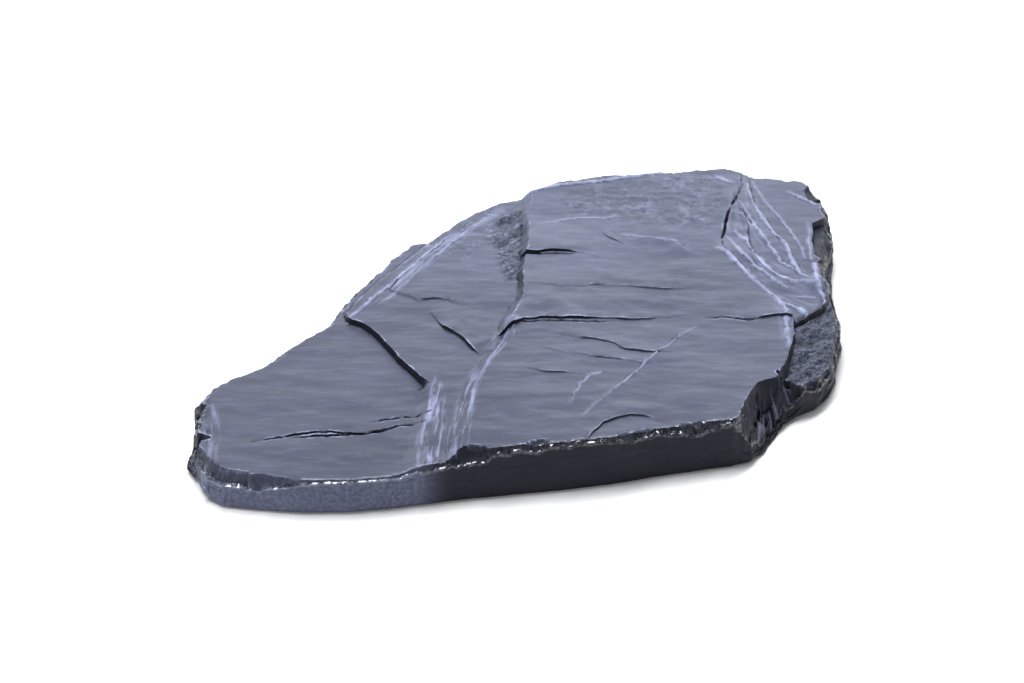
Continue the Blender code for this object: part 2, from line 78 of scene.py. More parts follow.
# The slab's outline, anticlockwise from the front left corner: x, y, the width of the chamfer on its rim,
# and how far the lower laminae of the wall stand out beyond the rim.
OUTLINE = [
    (-98.3, -60.5, 1.8, 0.2), (-95.2, -68, 2.8, 0.2), (-90, -71.7, 2.7, 0.1), (-79, -73.3, 2.5, 0),
    (-66, -75, 0.6, 0), (-51, -74.8, 0.2, 0), (-38, -73, 0.3, 0), (-26, -70.8, 0.8, 0),
    (-14, -68.5, 1.4, 0), (0, -66.5, 0.7, 0), (14, -64.5, 0.3, 0), (30, -61.5, 0.3, 0), (42, -58.5, 0.3, 0),
    (52, -56, 0.5, 0), (62, -53.8, 0.4, 0), (69, -52.5, 0.4, 0), (75, -49.5, 0.5, 0.4), (78, -46, 0.6, 0.6),
    (82, -39, 0.6, 0.6), (86, -31.5, 0.6, 0.5), (91.3, -27.2, 0.8, 0.2), (97.5, -23.5, 0.8, 0),
    (101.3, -18.3, 0.9, 0), (103.8, -10.5, 1, 0), (105.3, -1, 1.2, 0), (106, 8, 1.2, 0),
    (105.5, 15, 1.5, 0.4), (103.5, 20.5, 1, 1.6), (102.5, 27, 1, 2.2), (102.5, 34, 1.5, 2.4),
    (104.5, 42, 2, 1.4), (106, 50, 2, 0.4), (106, 58, 2, 0), (105.5, 67, 2.5, 0.4), (103.5, 76, 3, 1),
    (99, 81, 2.5, 1.2), (89, 82.5, 2, 0.6), (79.5, 84, 2, 0), (72.5, 87.2, 2, 0), (65, 86.2, 2, 0.4),
    (52, 83.8, 2, 1.4), (32, 82.5, 2.5, 2), (15.5, 78.5, 2.5, 1.2), (5, 73, 2, 0.4), (-5, 68.5, 1.5, 0),
    (-11.5, 63.8, 1, 0), (-17.5, 61.5, 1, 0.6), (-21, 57, 1.5, 1.2), (-28, 51.5, 2, 1.4),
    (-34.5, 48.5, 2, 1), (-39.5, 42.5, 2, 0.4), (-43.5, 36, 2, 0), (-49, 28.5, 2, 0.4),
    (-54.5, 19.5, 2, 1.2), (-57.5, 10, 1.5, 1.4), (-64.5, 1, 1, 0.8), (-72, -6.5, 1, 0.2),
    (-78, -13.5, 1, 0), (-85.5, -20, 1, 0.6), (-90.5, -22.5, 1, 0.8), (-96.5, -28.5, 1.5, 0.4),
    (-100, -34.5, 1.5, 0), (-99.5, -43, 1, 0), (-100, -49.5, 1, 0.4), (-101.8, -53.5, 1, 0.6),
]
CHAMFER_STEEPNESS = 1.9  # height lost on the chamfer over its width

# Beds, lowest first: the plane of the top (height at the plan's zero, rise per mm along x and along y) and
# the outline: x, y and the fall per mm outside it. A bed that runs to the slab's edge has an outline that
# passes beyond it.
ROOT_BED = {"plane": (5, 0, 0), "edge": [(-120, -95, 2), (125, -95, 2), (125, 100, 2), (-120, 100, 2)]}
WING_BED = {"plane": (13.6, 0.004, 0.002), "edge": [
    (-120, -95, 3), (60, -95, 3), (60, -30, 3), (60, 90, 3), (-120, 90, 3),
]}
MID_BED = {"plane": (16.35, 0.02, 0), "edge": [
    (-28.5, -80, 0.35), (-27.5, -65, 0.35), (-26, -50, 0.4), (-25, -36, 0.5), (-26.3, -28.5, 0.55),
    (-29.2, -25, 4), (-33, -19, 4), (-35.5, -16, 4), (-38.5, -10, 4), (-42.5, -3.5, 4), (-47.5, 2, 4),
    (-53, 6, 4), (-53, 9, 1.2), (-47, 19.5, 1), (-39.5, 30, 1), (-31, 40, 1), (-22.5, 51, 1),
    (-14.5, 59.5, 1), (-6.5, 66, 1), (5, 80, 1), (40, 80, 1), (40, -80, 1),
]}
UPPER_MID_BED = {"plane": (16.75, 0.017, -0.002), "edge": [
    (-17, 12.5, 0.15), (-21.5, 14.8, 0.8), (-27, 14.6, 1.5), (-30, 14.8, 0.6), (-35, 17.8, 0.4),
    (-39, 20, 1), (-36.5, 26.5, 1), (-29, 36.5, 1), (-21, 46.5, 1), (-13.5, 56.5, 1), (-3, 64, 1),
    (6, 66, 1), (4, 12, 0.2), (-8, 12, 0.12),
]}
RIGHT_BED = {"plane": (19.4, -0.012, -0.008), "edge": [
    (-15, -80, 0.9), (-15.5, -61, 0.8), (-14, -52, 0.7), (-12, -41, 0.7), (-12.5, -38, 0.8), (-9, -27, 0.8),
    (-6, -20.5, 0.8), (0.5, -7.5, 0.9), (0, 0.5, 1), (3.5, 11, 1.2), (4, 19, 1.6), (3.8, 26, 1.4),
    (5, 38.5, 1.2), (5.8, 50, 0.9), (5.5, 58, 0.75), (6.5, 68, 0.8), (7, 90, 0.8), (75, 95, 2),
    (76.5, 79, 2), (74.5, 70, 2.5), (73.5, 65, 3), (71, 55, 3), (68.5, 46, 3), (69, 41, 1.5),
    (74, 32.5, 1.2), (81, 17.5, 1.2), (87.8, 8, 1.2), (90.5, 2, 9), (90.5, -5, 9), (90, -10, 9),
    (87.5, -19, 7), (85.7, -24, 4), (84.2, -29, 3), (81, -30.2, 2.4), (77.5, -32.5, 2.4), (75, -36.5, 2.4),
    (73, -43, 2.4), (71.2, -48.5, 2.4), (68, -54.5, 2.6), (60, -90, 2.5),
]}
LOBE_BED = {"plane": (21.5, -0.048, -0.01), "edge": [
    (66, 90, 2), (64, 40, 2), (80, 5, 2), (90.2, 0, 5), (92.2, 1.7, 5), (95.5, 5, 5), (99.6, 9, 5),
    (101.5, 13, 5), (103, 22, 4), (125, 24, 3), (125, 95, 3),
]}
SHELF_BED = {"plane": (36.2, -0.229, 0.114), "edge": [
    (84, -18, 3), (84.8, -23.5, 3), (87.5, -25, 3), (91.5, -26, 3), (95, -29.5, 2), (97, -36, 2),
    (125, -36, 2), (125, 24, 2), (100, 24, 3), (91, 8, 3), (85, 3, 3),
]}
CORNER_BED = {"plane": (118, -0.96, 0.9), "edge": [
    (86.5, -19, 4), (83.6, -24, 4), (80.5, -28, 4), (76.5, -31.5, 4), (73.5, -36, 4), (71, -44, 4),
    (68, -56, 4), (90, -50, 2), (98, -32, 2), (92, -24.5, 2), (88.5, -20, 2),
]}

# Ledges inside a bed: the surface steps up from the right of the path to its left, and the raised side
# sinks back over "reach". Each point is x, y and the height of the step there. LEDGE_WALL is the width of
# the step in plan.
LEDGE_WALL = 0.3
LEDGE_VARIES = {"mean": 0.9, "swing": 0.8, "least": 0.2, "most": 1.3, "noise": (9.0, 9.0, 6.6, 2)}
RIGHT_LEDGES = [
    {"reach": 34, "path": [
        (-4, -5, 1.7), (1.3, -2, 1.7), (4, 0, 1.4), (15, 0.6, 0.9), (28, 0.8, 0.6), (43, 0.6, 0.4),
        (57, 3.6, 0),
    ]},
    {"reach": 22, "path": [
        (3, 36.2, 0.8), (8.5, 36.5, 0.8), (15, 36.8, 0.7), (21.6, 36.3, 0.5), (29, 33.5, 0),
    ]},
    {"reach": 12, "path": [
        (12, -6.5, 0), (22.5, -9.5, 0.35), (33, -12.6, 0.4), (35.8, -15.7, 0.45), (42, -16.8, 0.4),
        (52, -16.5, 0),
    ]},
    {"reach": 12, "path": [(3, -24.5, 0), (11.4, -27.6, 0.4), (19, -27.6, 0.4), (24, -29.5, 0)]},
    {"reach": 10, "path": [(76, 1, 0), (81, 2, 0.6), (86, 2.6, 0.6), (92, 2.6, 0.6)]},
    {"reach": 12, "path": [(59, 36.5, 0), (55.5, 41.5, 0.5), (46, 43.8, 0.5), (36, 44, 0.4), (30, 49, 0)]},
    {"reach": 9, "path": [
        (23.6, -60.8, 0.3), (26.2, -56.8, 0.6), (28.7, -52.9, 0.7), (32.5, -50.9, 0.8), (36.9, -48.9, 0.8),
        (41.3, -48.9, 0.6), (45, -50.9, 0.4), (48.1, -53.4, 0),
    ]},
]
LOBE_LEDGES = [
    {"reach": 10, "path": [
        (98, 22.5, 0.6), (93, 22, 0.7), (87.3, 23.7, 0.9), (83.5, 27.5, 1), (80.4, 32, 1), (78.2, 41, 1),
        (78, 52, 1), (76.3, 60, 0.9), (74, 67, 0.6), (73, 74, 0),
    ]},
    {"reach": 12, "path": [
        (101, 25, 0.8), (97.2, 25.6, 1), (94, 29, 1.1), (92, 35, 1.1), (90.8, 42, 1.1), (86, 49.6, 1.2),
        (83.5, 57.4, 1.2), (81, 64, 1.1), (79.4, 71, 0.8), (79, 84, 0.6),
    ]},
]
MID_LEDGES = [
    {"reach": 16, "path": [
        (-27, 8.5, 0), (-25, 5.6, 0.5), (-21.7, -0.3, 0.9), (-15.8, -6.3, 1), (-12.8, -11.1, 0.9),
        (-10, -15, 0),
    ]},
]

# Cracks: x, y and depth at each point. From CRACK_DARK deep, a crack's broken stone is fully dark, a
# painted shade in the crack.
CRACK_HALF_WIDTH = 0.6
CRACK_DARK = 0.4
CRACK_VARIES = {"mean": 1.0, "swing": 1.4, "least": 0.1, "most": 1.5, "noise": (1.6, 1.6, 7.7, 2)}
CRACKS = [
    [
        (-83, -55.5, 0), (-73.3, -52.8, 0.9), (-64, -50.8, 1.2), (-57.5, -50, 1.2), (-47.5, -51.3, 1.1),
        (-41, -49.3, 0.7), (-34.6, -47, 0.6), (-26, -46.3, 0),
    ],
]

# Chips broken out of the rim: the middle, the half length along x, the half width along y, the turn in
# degrees and the depth below the bed's top. CHIP_BOWL is how round a chip's bowl is, and CHIP_EDGE how
# sharply its dark stone ends. From CHIP_DARK deep it is fully dark: the broken stone's own dark and painted
# shade in the hollow.
CHIP_BOWL = 0.5
CHIP_EDGE = 3.0
CHIP_DARK = 1.5
CHIPS = [(58, -54.6, 6.5, 2.3, 8, 1.5), (-12.5, -68.5, 6, 3.6, 10, 3.2), (101.5, 72, 5, 3.5, -60, 1.6)]

# Steep-sided notches in the rim: their outlines, which pass beyond the slab's edge, and their depth.
NOTCH_WALL = 0.5
# How dark a notch is painted: painted shade in its hollow.
NOTCH_DARKNESS = 0.8
NOTCHES = [
    {"depth": 2.8, "edge": [
        (115, 64), (105, 60.5), (99.6, 55.5), (98.9, 48), (99.2, 38.5), (101.5, 35.5), (115, 36),
    ]},
    {"depth": 4, "edge": [
        (-112, -33.5), (-100, -34.5), (-96.4, -36.3), (-97, -40), (-100, -42.5), (-112, -42),
    ]},
    {"depth": 5, "edge": [
        (-112, -50.5), (-100.5, -50.6), (-97, -50.8), (-94, -52.8), (-97.4, -54.6), (-98.4, -59),
        (-101, -60.5), (-112, -58),
    ]},
]

# The wall: the shares of its height at which its laminae part, and how close to them its rows of points lie.
LAMINAE = (0.0, 0.22, 0.45, 0.7, 1.0)
LAMINA_GAP = 0.012
LAMINA_RELIEF = 1.1  # how far the laminae stand in or out
LAMINA_RUN = 20.0  # how fast that changes along the edge
LAMINA_APART = 5.3  # in the noise, from one lamina to the next
LAMINA_OCTAVES = 3
LAMINA_ROUGHNESS = 0.8
LAMINA_EASE = 0.12  # share of the wall's height over which their relief begins, below the rim
STEP_SHARE = 0.5  # the laminae below this share are the ones that stand out beyond the rim
FOOT_INSET = 1.3
LOWEST_RIM = 2.5
# Thin laminae within the thick ones.
THIN_LAMINA = 1.5  # their thickness
THIN_RELIEF = 0.45
THIN_RUN = 11.0
THIN_APART = 9.1
THIN_EASE = 0.06
THIN_SAG = 0.5  # how far they rise and dip along the edge, in their own thicknesses
THIN_SAG_NOISE = (90.0, 90.0, 0.7, 2)
WALL_FOLLOWS = 0.25  # share of the rim's straying that the foot of the wall keeps
FOLLOWING = (0.3, 0.9)  # shares of the height between which the wall takes up the rest of it
SMOOTH_FRONT = (0.6, 0.9)  # how far to the front the wall faces where its relief begins to go, and is gone
BACK_DRY_AND_PAINTED_LIGHT = 0.45  # how far the wall is lightened with painted light, as drier stone, where it faces away from the front
FACING_BACK = (-0.6, 0.4)  # y of its outward direction from which that painted light begins, and where it is full

# Flakes missing from the underside: outlines, which pass beyond the slab's edge, and how thick they were.
SPALL_WALL = 0.8
SPALLS = [
    {"depth": 1.4, "edge": [(70, 100), (63, 72), (74, 58), (89, 52), (96, 36), (125, 30), (125, 100)]},
    {"depth": 1.2, "edge": [
        (-70, 50), (-48, 22), (-34, 24), (-21, 36), (-2, 45), (6, 61), (24, 68), (30, 100), (-70, 100),
    ]},
    {"depth": 1, "edge": [(-120, -20), (-88, -31), (-80, -45), (-84, -60), (-120, -66)]},
]

BEDS = (
    (ROOT_BED, ()), (WING_BED, ()), (MID_BED, MID_LEDGES), (UPPER_MID_BED, ()),
    (RIGHT_BED, RIGHT_LEDGES), (LOBE_BED, LOBE_LEDGES), (SHELF_BED, ()), (CORNER_BED, ()),
)
WIDE_BEDS = (ROOT_BED, WING_BED)  # their outlines lie clear of the slab, or are never seen
WIDE_SPACING = 20.0

# Relief of the top: the broad undulation and the low treads of its cleavage faces, and what the rough, the
# flaky and the fluted zones add.
UNDULATION = 0.24
UNDULATION_NOISE = (38.0, 13.0, 0.4, 3, 0.8)
CLEAVAGE = {"height": 0.19, "treads": 4, "noise": (20.0, 6.0, 1.3, 4)}
CALM_WING = 0.4  # share of the cleavage relief that the thin end keeps
WING_ENDS = (-50.0, 0.0)  # x up to which the thin end is calm, and from which the rest is lively
ROUGH = {"height": 0.9, "treads": 5, "noise": (8.0, 3.4, 2.2, 4)}
FLAKY = {"height": 0.25, "treads": 4, "noise": (4.0, 2.2, 6.4, 4)}
FLAKY_ROUGHNESS = 0.35
FLUTES = {"height": 3.2, "treads": 3, "noise": (14.0, 1.9, 4.4, 3)}
FLUTE_TURN = 46  # degrees that the flutes and the rough stone's grain are turned from x
FLUTE_FADE = 2.0  # distance from the rim over which the flutes begin

# How far broken edges stray to either side: on the whole, by splinters, and beside the fluted face.
JAG = 0.55
JAG_NOISE = (7.0, 7.0, 3.7, 2)
SPLINTER = 0.18
SPLINTER_NOISE = (1.8, 1.8, 8.1, 3)
FLUTED_STRAY = 0.8
FLUTED_NOISE = (1.9, 1.9, 4.4, 2)

# The chamfer's width and drop: shares of those given, at least the first and by up to the second more.
CHAMFER_WIDTH_SHARE = (0.3, 0.9)
CHAMFER_DROP_SHARE = (0.45, 0.6)
CHAMFER_NOISE = (6.0, 6.0, 1.9, 3)
CHAMFER_HOLLOW = 1.6
CHAMFER_DRY_AND_PAINTED_LIGHT = 0.5  # how far the chamfer above the lightened wall is lightened too, with painted light as drier stone

# The worn lip of the rim: its width, its slope and how that eases off inward, how much of its roughness it
# loses where it is wet, and how much where it is also twice as wide.
LIP = 0.75
LIP_SLOPE = 0.36
LIP_CURVE = 1.2
SMOOTH_LIP = 0.6
SMOOTH_WIDE_LIP = 0.9
WET_RIM = 1.2  # width of the wet band beside the rim
WET_FRONT = -10.0  # the rim grows wetter in front of this y,
WET_FADE = 20.0  # over this distance
WET_BACK = 0.35  # share of its wetness that the rim behind it keeps

# The mesh's lines and points.
LINE_MARGIN = 0.1  # how far inside its ring a line stays
MERGE = 0.02  # points closer together than this become one
CLEARANCE = 0.6  # share of the spacing that a fill point keeps from a line
SHORTEST_FALL = 0.15  # the least width in plan of a bed's broken edge that gets a line at its foot
LONGEST_FALL = 6.0
SPALL_SPACING = 1.5
SHARP_ANGLE = math.radians(38)

AIM = (-MIDDLE[0], -MIDDLE[1], 10.0)  # the point that the camera looks at
LIGHTS = (  # name, place in metres, width and height in metres, radiance
    ("back_panel", (0.0, 1.7, 1.25), (2.6, 1.3), 1.1),
    ("low_panel", (0.0, 0.42, 0.2), (1.1, 0.26), 3.5),
    ("overhead_strip", (-0.12, 0.12, 1.1), (1.0, 0.24), 24.0),
    ("left_panel", (-1.4, -0.3, 0.5), (0.9, 0.9), 1.4),
)

# Fine ledges, laid over the beds' own: the top steps up from the right of the path to its left.
FINE_LEDGES = [
    {"reach": 7, "path": [(29, 48.7, 0), (31.6, 44.9, 0.3), (34.2, 42.7, 0.35), (37.4, 39.9, 0)]},
    {"reach": 6, "path": [
        (57.5, 36.5, 0), (55.8, 39.6, 0.4), (52.6, 42.4, 0.45), (48.7, 43.3, 0.4), (43.4, 44.2, 0.35),
        (38.9, 47.4, 0),
    ]},
    {"reach": 5, "path": [
        (27.9, -27.7, 0), (24.7, -29.3, 0.35), (22.1, -32.8, 0.4), (20.2, -37.9, 0.35), (18.2, -43.9, 0),
    ]},
    {"reach": 9, "path": [
        (59, -2.9, 0), (55.1, -6.6, 0.22), (51.1, -11.3, 0.3), (47.2, -16.4, 0.3), (43.2, -21.6, 0.3),
        (38, -28.2, 0.3), (32.8, -35.8, 0.28), (27.7, -42.4, 0.25), (22, -49.5, 0),
    ]},
    {"reach": 14, "path": [
        (8, -14, 0), (14.7, -17.1, 0.25), (27.4, -19.1, 0.3), (40, -22.3, 0.25), (52, -22, 0),
    ]},
    {"reach": 16, "path": [(4, 19, 0), (16, 17.4, 0.25), (33, 18.5, 0.3), (50, 16.6, 0.25), (66, 19, 0)]},
]
# Ridges: the half width of each, and x, y and strength along it, which scales its rise and its paleness,
# a painted highlight.
RIDGE_RISE = 0.45
RIDGE_VARIES = {"mean": 0.8, "swing": 1.0, "least": 0.3, "most": 1.5, "noise": (4.0, 4.0, 2.9, 2)}
RIDGES = [
    (1.2, [
        (78.6, 76.5, 0.5), (79.9, 65.9, 0.7), (83.5, 54.8, 0.9), (87.3, 46.5, 1), (90.3, 41, 1),
        (91.6, 32.8, 0.9), (94.1, 26, 0.9), (97.7, 24.7, 0.7),
    ]),
    (1, [(73.4, 60.1, 0.2), (77, 57.3, 0.7), (80, 50.3, 0.3)]),
    (0.8, [
        (75.5, 66, 0.3), (79, 56, 0.7), (82.5, 47, 0.8), (85.6, 39, 0.8), (88.5, 32, 0.7), (93, 27.5, 0.5),
    ]),
    (0.8, [(70.5, 46, 0.3), (74.5, 38.5, 0.7), (79, 30.8, 0.7), (84, 24, 0.7), (89.5, 18.5, 0.5)]),
    (0.7, [(80.5, 78, 0.3), (85, 66, 0.5), (90, 56, 0.6), (94, 46, 0.6), (96, 36, 0.5)]),
    (1.3, [
        (73.4, 48.9, 0.5), (77.3, 43.4, 0.8), (78.7, 38, 1), (81.8, 32.5, 1), (86.4, 25.7, 1),
        (91.9, 21.7, 0.9), (98, 21.4, 0.6),
    ]),
    (1.7, [
        (68.1, 39.5, 0.5), (71.2, 35.4, 0.9), (75.1, 29.3, 1), (78.9, 22.5, 1), (82.7, 16.5, 1),
        (88.1, 10.5, 1),
    ]),
    (1.3, [(88.1, 10.8, 1), (92.8, 8.1, 1), (95.5, 4.8, 0.8)]),
    (0.8, [(89.9, 14.8, 0.3), (98, 14.8, 0.5)]),
    (1.2, [(67.9, 80.4, 0.2), (71.1, 77.6, 0.7), (74, 76.1, 0.3)]),
    (0.9, [(92.3, 73.1, 0.3), (95.9, 70.3, 0.8), (101.1, 66.8, 0.5)]),
    (1.7, [(99, 32.9, 0.8), (99.5, 26.1, 1), (100.7, 18.1, 1), (101.7, 12.7, 1)]),
    (0.8, [(98.2, 55.8, 0.3), (97.9, 46.2, 0.6), (98.2, 35.2, 0.5)]),
    (1.9, [(85.4, 12.9, 0.8), (88, 7.2, 1), (88.3, -4.2, 0.9), (88.6, -13, 0.5)]),
    (0.7, [(80.2, -33, 0.4), (79, -38.5, 1.6), (77.6, -44.5, 1.8), (75.6, -50, 1)]),
    (0.5, [(82.2, -31.5, 0.8), (83.4, -33.8, 1.4), (84.6, -34.5, 0.8)]),
    (0.5, [(81, -35, 0.6), (82.3, -38.2, 1.4), (83.4, -38.8, 0.8)]),
    (0.6, [(84, -29, 0.6), (87.5, -28.4, 1.4), (90, -27, 1)]),
    (0.9, [
        (-52.9, 4.6, 0.6), (-45.7, 14.9, 0.8), (-39.2, 23.5, 0.9), (-31.2, 34.7, 0.8), (-23.8, 44.8, 0.6),
        (-16.3, 52.4, 0.4),
    ]),
    (0.8, [
        (-39.1, 17.4, 0.2), (-34, 24.8, 0.5), (-28.1, 33.5, 0.5), (-20.7, 43.5, 0.5), (-14, 52.4, 0.5),
        (-2.6, 62.6, 0.2),
    ]),
    (0.8, [(59, -2.9, 0.1), (51.1, -11.3, 0.5), (43.2, -21.6, 0.6), (32.8, -35.8, 0.5), (22, -49.5, 0.1)]),
    (0.8, [
        (27.9, -27.7, 0.3), (24.7, -29.3, 0.5), (22.1, -32.8, 0.5), (20.2, -37.9, 0.4), (18.2, -43.9, 0.1),
    ]),
    (0.8, [(8, 51.6, 0.1), (17.9, 54.7, 0.4), (30.8, 55.4, 0.4), (35.4, 56.7, 0.1)]),
    (0.8, [(36.7, 46.5, 0.2), (44.2, 44.6, 0.5), (53.3, 43.3, 0.5), (56.9, 37.7, 0.2)]),
    (1, [(4, 69, 0.3), (14.3, 73.6, 0.9), (29.6, 76.4, 1), (41.3, 79.8, 1), (49.8, 81.6, 0.8)]),
    (1.2, [(-12.2, -38, 0.2), (-7.2, -20, 0.6), (-3, -9, 0.7), (0.5, 0.5, 0.4)]),
]
# Fine cracks, as the others, and the crevices of the broken corner.
FINE_CRACKS = [
    [(-69, -53.2, 0), (-62, -52.3, 1.1), (-53, -51.6, 1.3), (-45, -50.9, 1.1), (-38.8, -49.1, 0)],
    [(-46, -46, 0), (-40, -43.8, 0.5), (-33.5, -43, 0.6), (-25.5, -42.8, 0.2)],
    [(78.7, 79.5, 0), (74.5, 68.2, 0.6), (71.6, 57, 0.8), (69.7, 48.7, 0.6), (68.3, 44.5, 0.2)],
    [(3.6, 35.4, 0.6), (9, 35.6, 0.7), (16, 35.8, 0.5), (22, 35, 0)],
    [(4, -1.2, 1), (12, -0.5, 0.9), (22, -0.6, 0.6), (34, -0.8, 0)],
    [(60, 1, 0), (68, 1.8, 0.4), (76, 0.8, 0.5), (84, 1.6, 0)],
    [(77.2, -34.5, 1.5), (77.4, -39, 3), (76, -45, 2.6), (74.4, -50, 1.5)],
    [(81, -32.5, 1.5), (82.8, -36, 3), (84.4, -36.2, 2)],
    [(79.6, -36.5, 1.5), (80.8, -41, 3), (81.8, -41.6, 2)],
    [(84.4, -26.2, 1.5), (86, -30.2, 2.5), (88, -30.4, 2)],
    [(87, -25.6, 1), (90.4, -26.6, 2), (92.6, -26.8, 1.5)],
]
# Zones of the top, each with an outline and how far it fades: rough broken stone, flaky faces, and bevels
# streaked with pale scuffs, partly scratches and partly painted highlight, which run along a guide line.
SHELF_ZONE = {"fade": 1, "edge": [
    (86.5, -22), (90.3, -8), (91.5, 2), (98, 8), (104, 22), (120, 20), (120, -36), (84, -32),
]}
ROUGH_ZONES = [
    {"fade": 2.5, "edge": [
        (-7.3, 51.6), (-3, 60), (4, 62.5), (5.2, 55), (4, 40.6), (2.6, 24), (-1.5, 23.2), (-5, 36.2),
    ]},
    SHELF_ZONE,
    {"fade": 3, "edge": [
        (-110, -31), (-98, -31), (-94.5, -38), (-97, -44), (-94, -51), (-97, -57), (-110, -60),
    ]},
]
FLAKY_ZONES = [
    {"fade": 9, "edge": [(34, 78), (70, 82), (72, 62), (64, 50), (48, 52), (20, 56), (12, 66)]},
    {"fade": 6, "edge": [(-36, 42), (-20, 52), (-8, 62), (0, 60), (-3, 46), (-16, 36)]},
]
SCUFF_ZONES = [
    {
        "strength": 1, "fade": 3,
        "edge": [
            (-25, -26), (-27.5, -40), (-29.5, -57.5), (-30.5, -78), (-22, -78), (-21.2, -57.5),
            (-20.8, -42.6), (-22.2, -30.5),
        ],
        "guide": [(-24, -25), (-25, -36), (-26.5, -52), (-28, -78)],
    },
    {
        "strength": 1, "fade": 2.5,
        "edge": [
            (2.6, -0.2), (-6.4, -21), (-11.3, -37.3), (-13.7, -61.2), (-13, -76), (-21, -76), (-20, -56.2),
            (-16.4, -36.2), (-10.2, -15.8), (-2.6, 1.9),
        ],
        "guide": [(0.5, 3), (-8.3, -18), (-13.5, -34), (-16.8, -56), (-18, -78)],
    },
    {
        "strength": 0.7, "fade": 2,
        "edge": [
            (-53.5, 4.6), (-46.5, 15.5), (-40, 24.3), (-32, 35.5), (-24.5, 45.5), (-17, 53.5), (-4, 64.5),
            (-2.6, 61.5), (-13.5, 51.4), (-20, 42.5), (-27.5, 32.5), (-38.5, 16.4),
        ],
        "guide": [(-53, 4.6), (-37.5, 22.5), (-22, 45), (-3, 63)],
    },
    {
        "strength": 0.25, "fade": 3,
        "edge": [
            (67.5, 42), (70.5, 57), (73.5, 70), (75.5, 84), (79, 80), (84.5, 57), (90.5, 43), (92.5, 33),
            (99.5, 24), (101, 15), (96, 5), (88, 9.5), (81.5, 17), (74.5, 29),
        ],
        "guide": [(72.5, 78), (73.4, 50), (78.7, 38), (86.4, 25.7), (98, 18)],
    },
    {
        "strength": 0.4, "fade": 3,
        "edge": [(83.5, 13), (86, 2), (86.5, -14), (91, -16), (91.5, -4), (91, 6), (88.5, 13)],
        "guide": [(85.4, 12.9), (88.2, 7.2), (88.5, -4.2), (89.6, -14.1)],
    },
    {
        "strength": 0.6, "fade": 3,
        "edge": [
            (-98, -27), (-94.5, -30), (-93.5, -40), (-92, -51), (-92.5, -64), (-97, -69), (-103, -60),
            (-104, -50), (-102, -33),
        ],
        "guide": [(-95.1, -29.8), (-94.2, -38.8), (-92, -50.3), (-92.9, -64.2)],
    },
]
# The corner's fluted face.
FLUTED_ZONE = {"fade": 1.2, "edge": [
    (69, -66), (71.8, -50), (73.8, -43), (75.8, -37), (78.2, -33.3), (83.5, -30.5), (85.5, -26),
    (88, -25.3), (93, -26.2), (99, -34), (90, -60),
]}
# Where the top's points are closer together, and by how much.
FINE_ZONES = [SHELF_ZONE, FLUTED_ZONE]
FINE_SHARE = 0.5
# A length of the rim that is worn smooth, how much wider its lip is, and how even its chamfer.
WORN_RIM_ZONE = {"fade": 3, "edge": [(-95.5, -65), (-89, -69), (-82, -70), (-81, -79), (-100, -77)]}
WORN_LIP = 1.0
WORN_EVENNESS = 0.9
# Where the rim is chipped more often, how much more often, and how much wider its lip is.
CRUMBLY_ZONE = {"fade": 4, "edge": [(34, -66), (75, -58), (77, -44), (66, -48), (34, -56)]}
CRUMBLY_SHARE = 1.5
CRUMBLY_LIP = 0.8
# The part of the front wall that is painted lighter, as drier stone: painted light.
DRY_PAINTED_LIGHT_ZONE = {"fade": 14, "edge": [(-112, -84), (-24, -84), (-24, -62), (-112, -58)]}

# Small chips scattered along the rim: how many, and their lengths, widths and depths from least to most.
RIM_CHIPS = 110
RIM_CHIP_LENGTH = (0.8, 4.5)
RIM_CHIP_WIDTH = (0.5, 1.9)
RIM_CHIP_DEPTH = (0.3, 1.3)
RIM_CHIP_INSET = (-0.2, 0.5)  # in widths
RIM_CHIP_TURN = 15  # degrees that a chip lies out of line with the rim, at most

# What the finish follows, kept for each point of the mesh: how rough and lumpy it is, how dark and freshly
# broken, the dark partly painted shade, how scuffed, how far in metres it lies across the scuffs, how wet,
# how far its broken stone is lightened with painted light as drier stone, how flaky and how ridged. The
# finish also follows how far each point stands proud of the points around it.
FACTS = ("rough", "broken", "scuffed", "across", "wet", "dry_and_painted_light", "flaky", "ridged")
UNDERSIDE_FACTS = {"rough": 0.35, "dry_and_painted_light": 1.0}

# How the relief's noise is stretched: ripples, the layers of steep broken stone, and ridges along the scuffs.
RIPPLE_STRETCH = (0.33, 1.0, 1.0)
LAYER_STRETCH = (0.3, 0.3, 2.4)
RIDGE_STRETCH = (1.0, 0.1, 0.1)

TEXTURES = {  # stretch, scale, detail and roughness of the finish's noise
    "clouds": ((0.5, 1.0, 1.0), 28.0, 5.0, 0.55),
    "patches": ((1.0, 1.0, 1.0), 170.0, 4.0, 0.7),
    "streaks": ((0.22, 1.0, 1.0), 480.0, 3.0, 0.55),
    "specks": ((1.0, 1.0, 1.0), 850.0, 4.0, 0.65),
    "beads": ((1.0, 1.0, 1.0), 800.0, 1.0, 0.55),
}
SCRATCHES = ((1.0, 0.14, 0.14), 520.0, 4.0, 0.6)  # laid along the scuffs
# y, in metres, from which the cleavage faces are darkened towards the front with painted shade, and where
# that painted shade is darkest.
FRONT_SHADE = (0.03, -0.06)


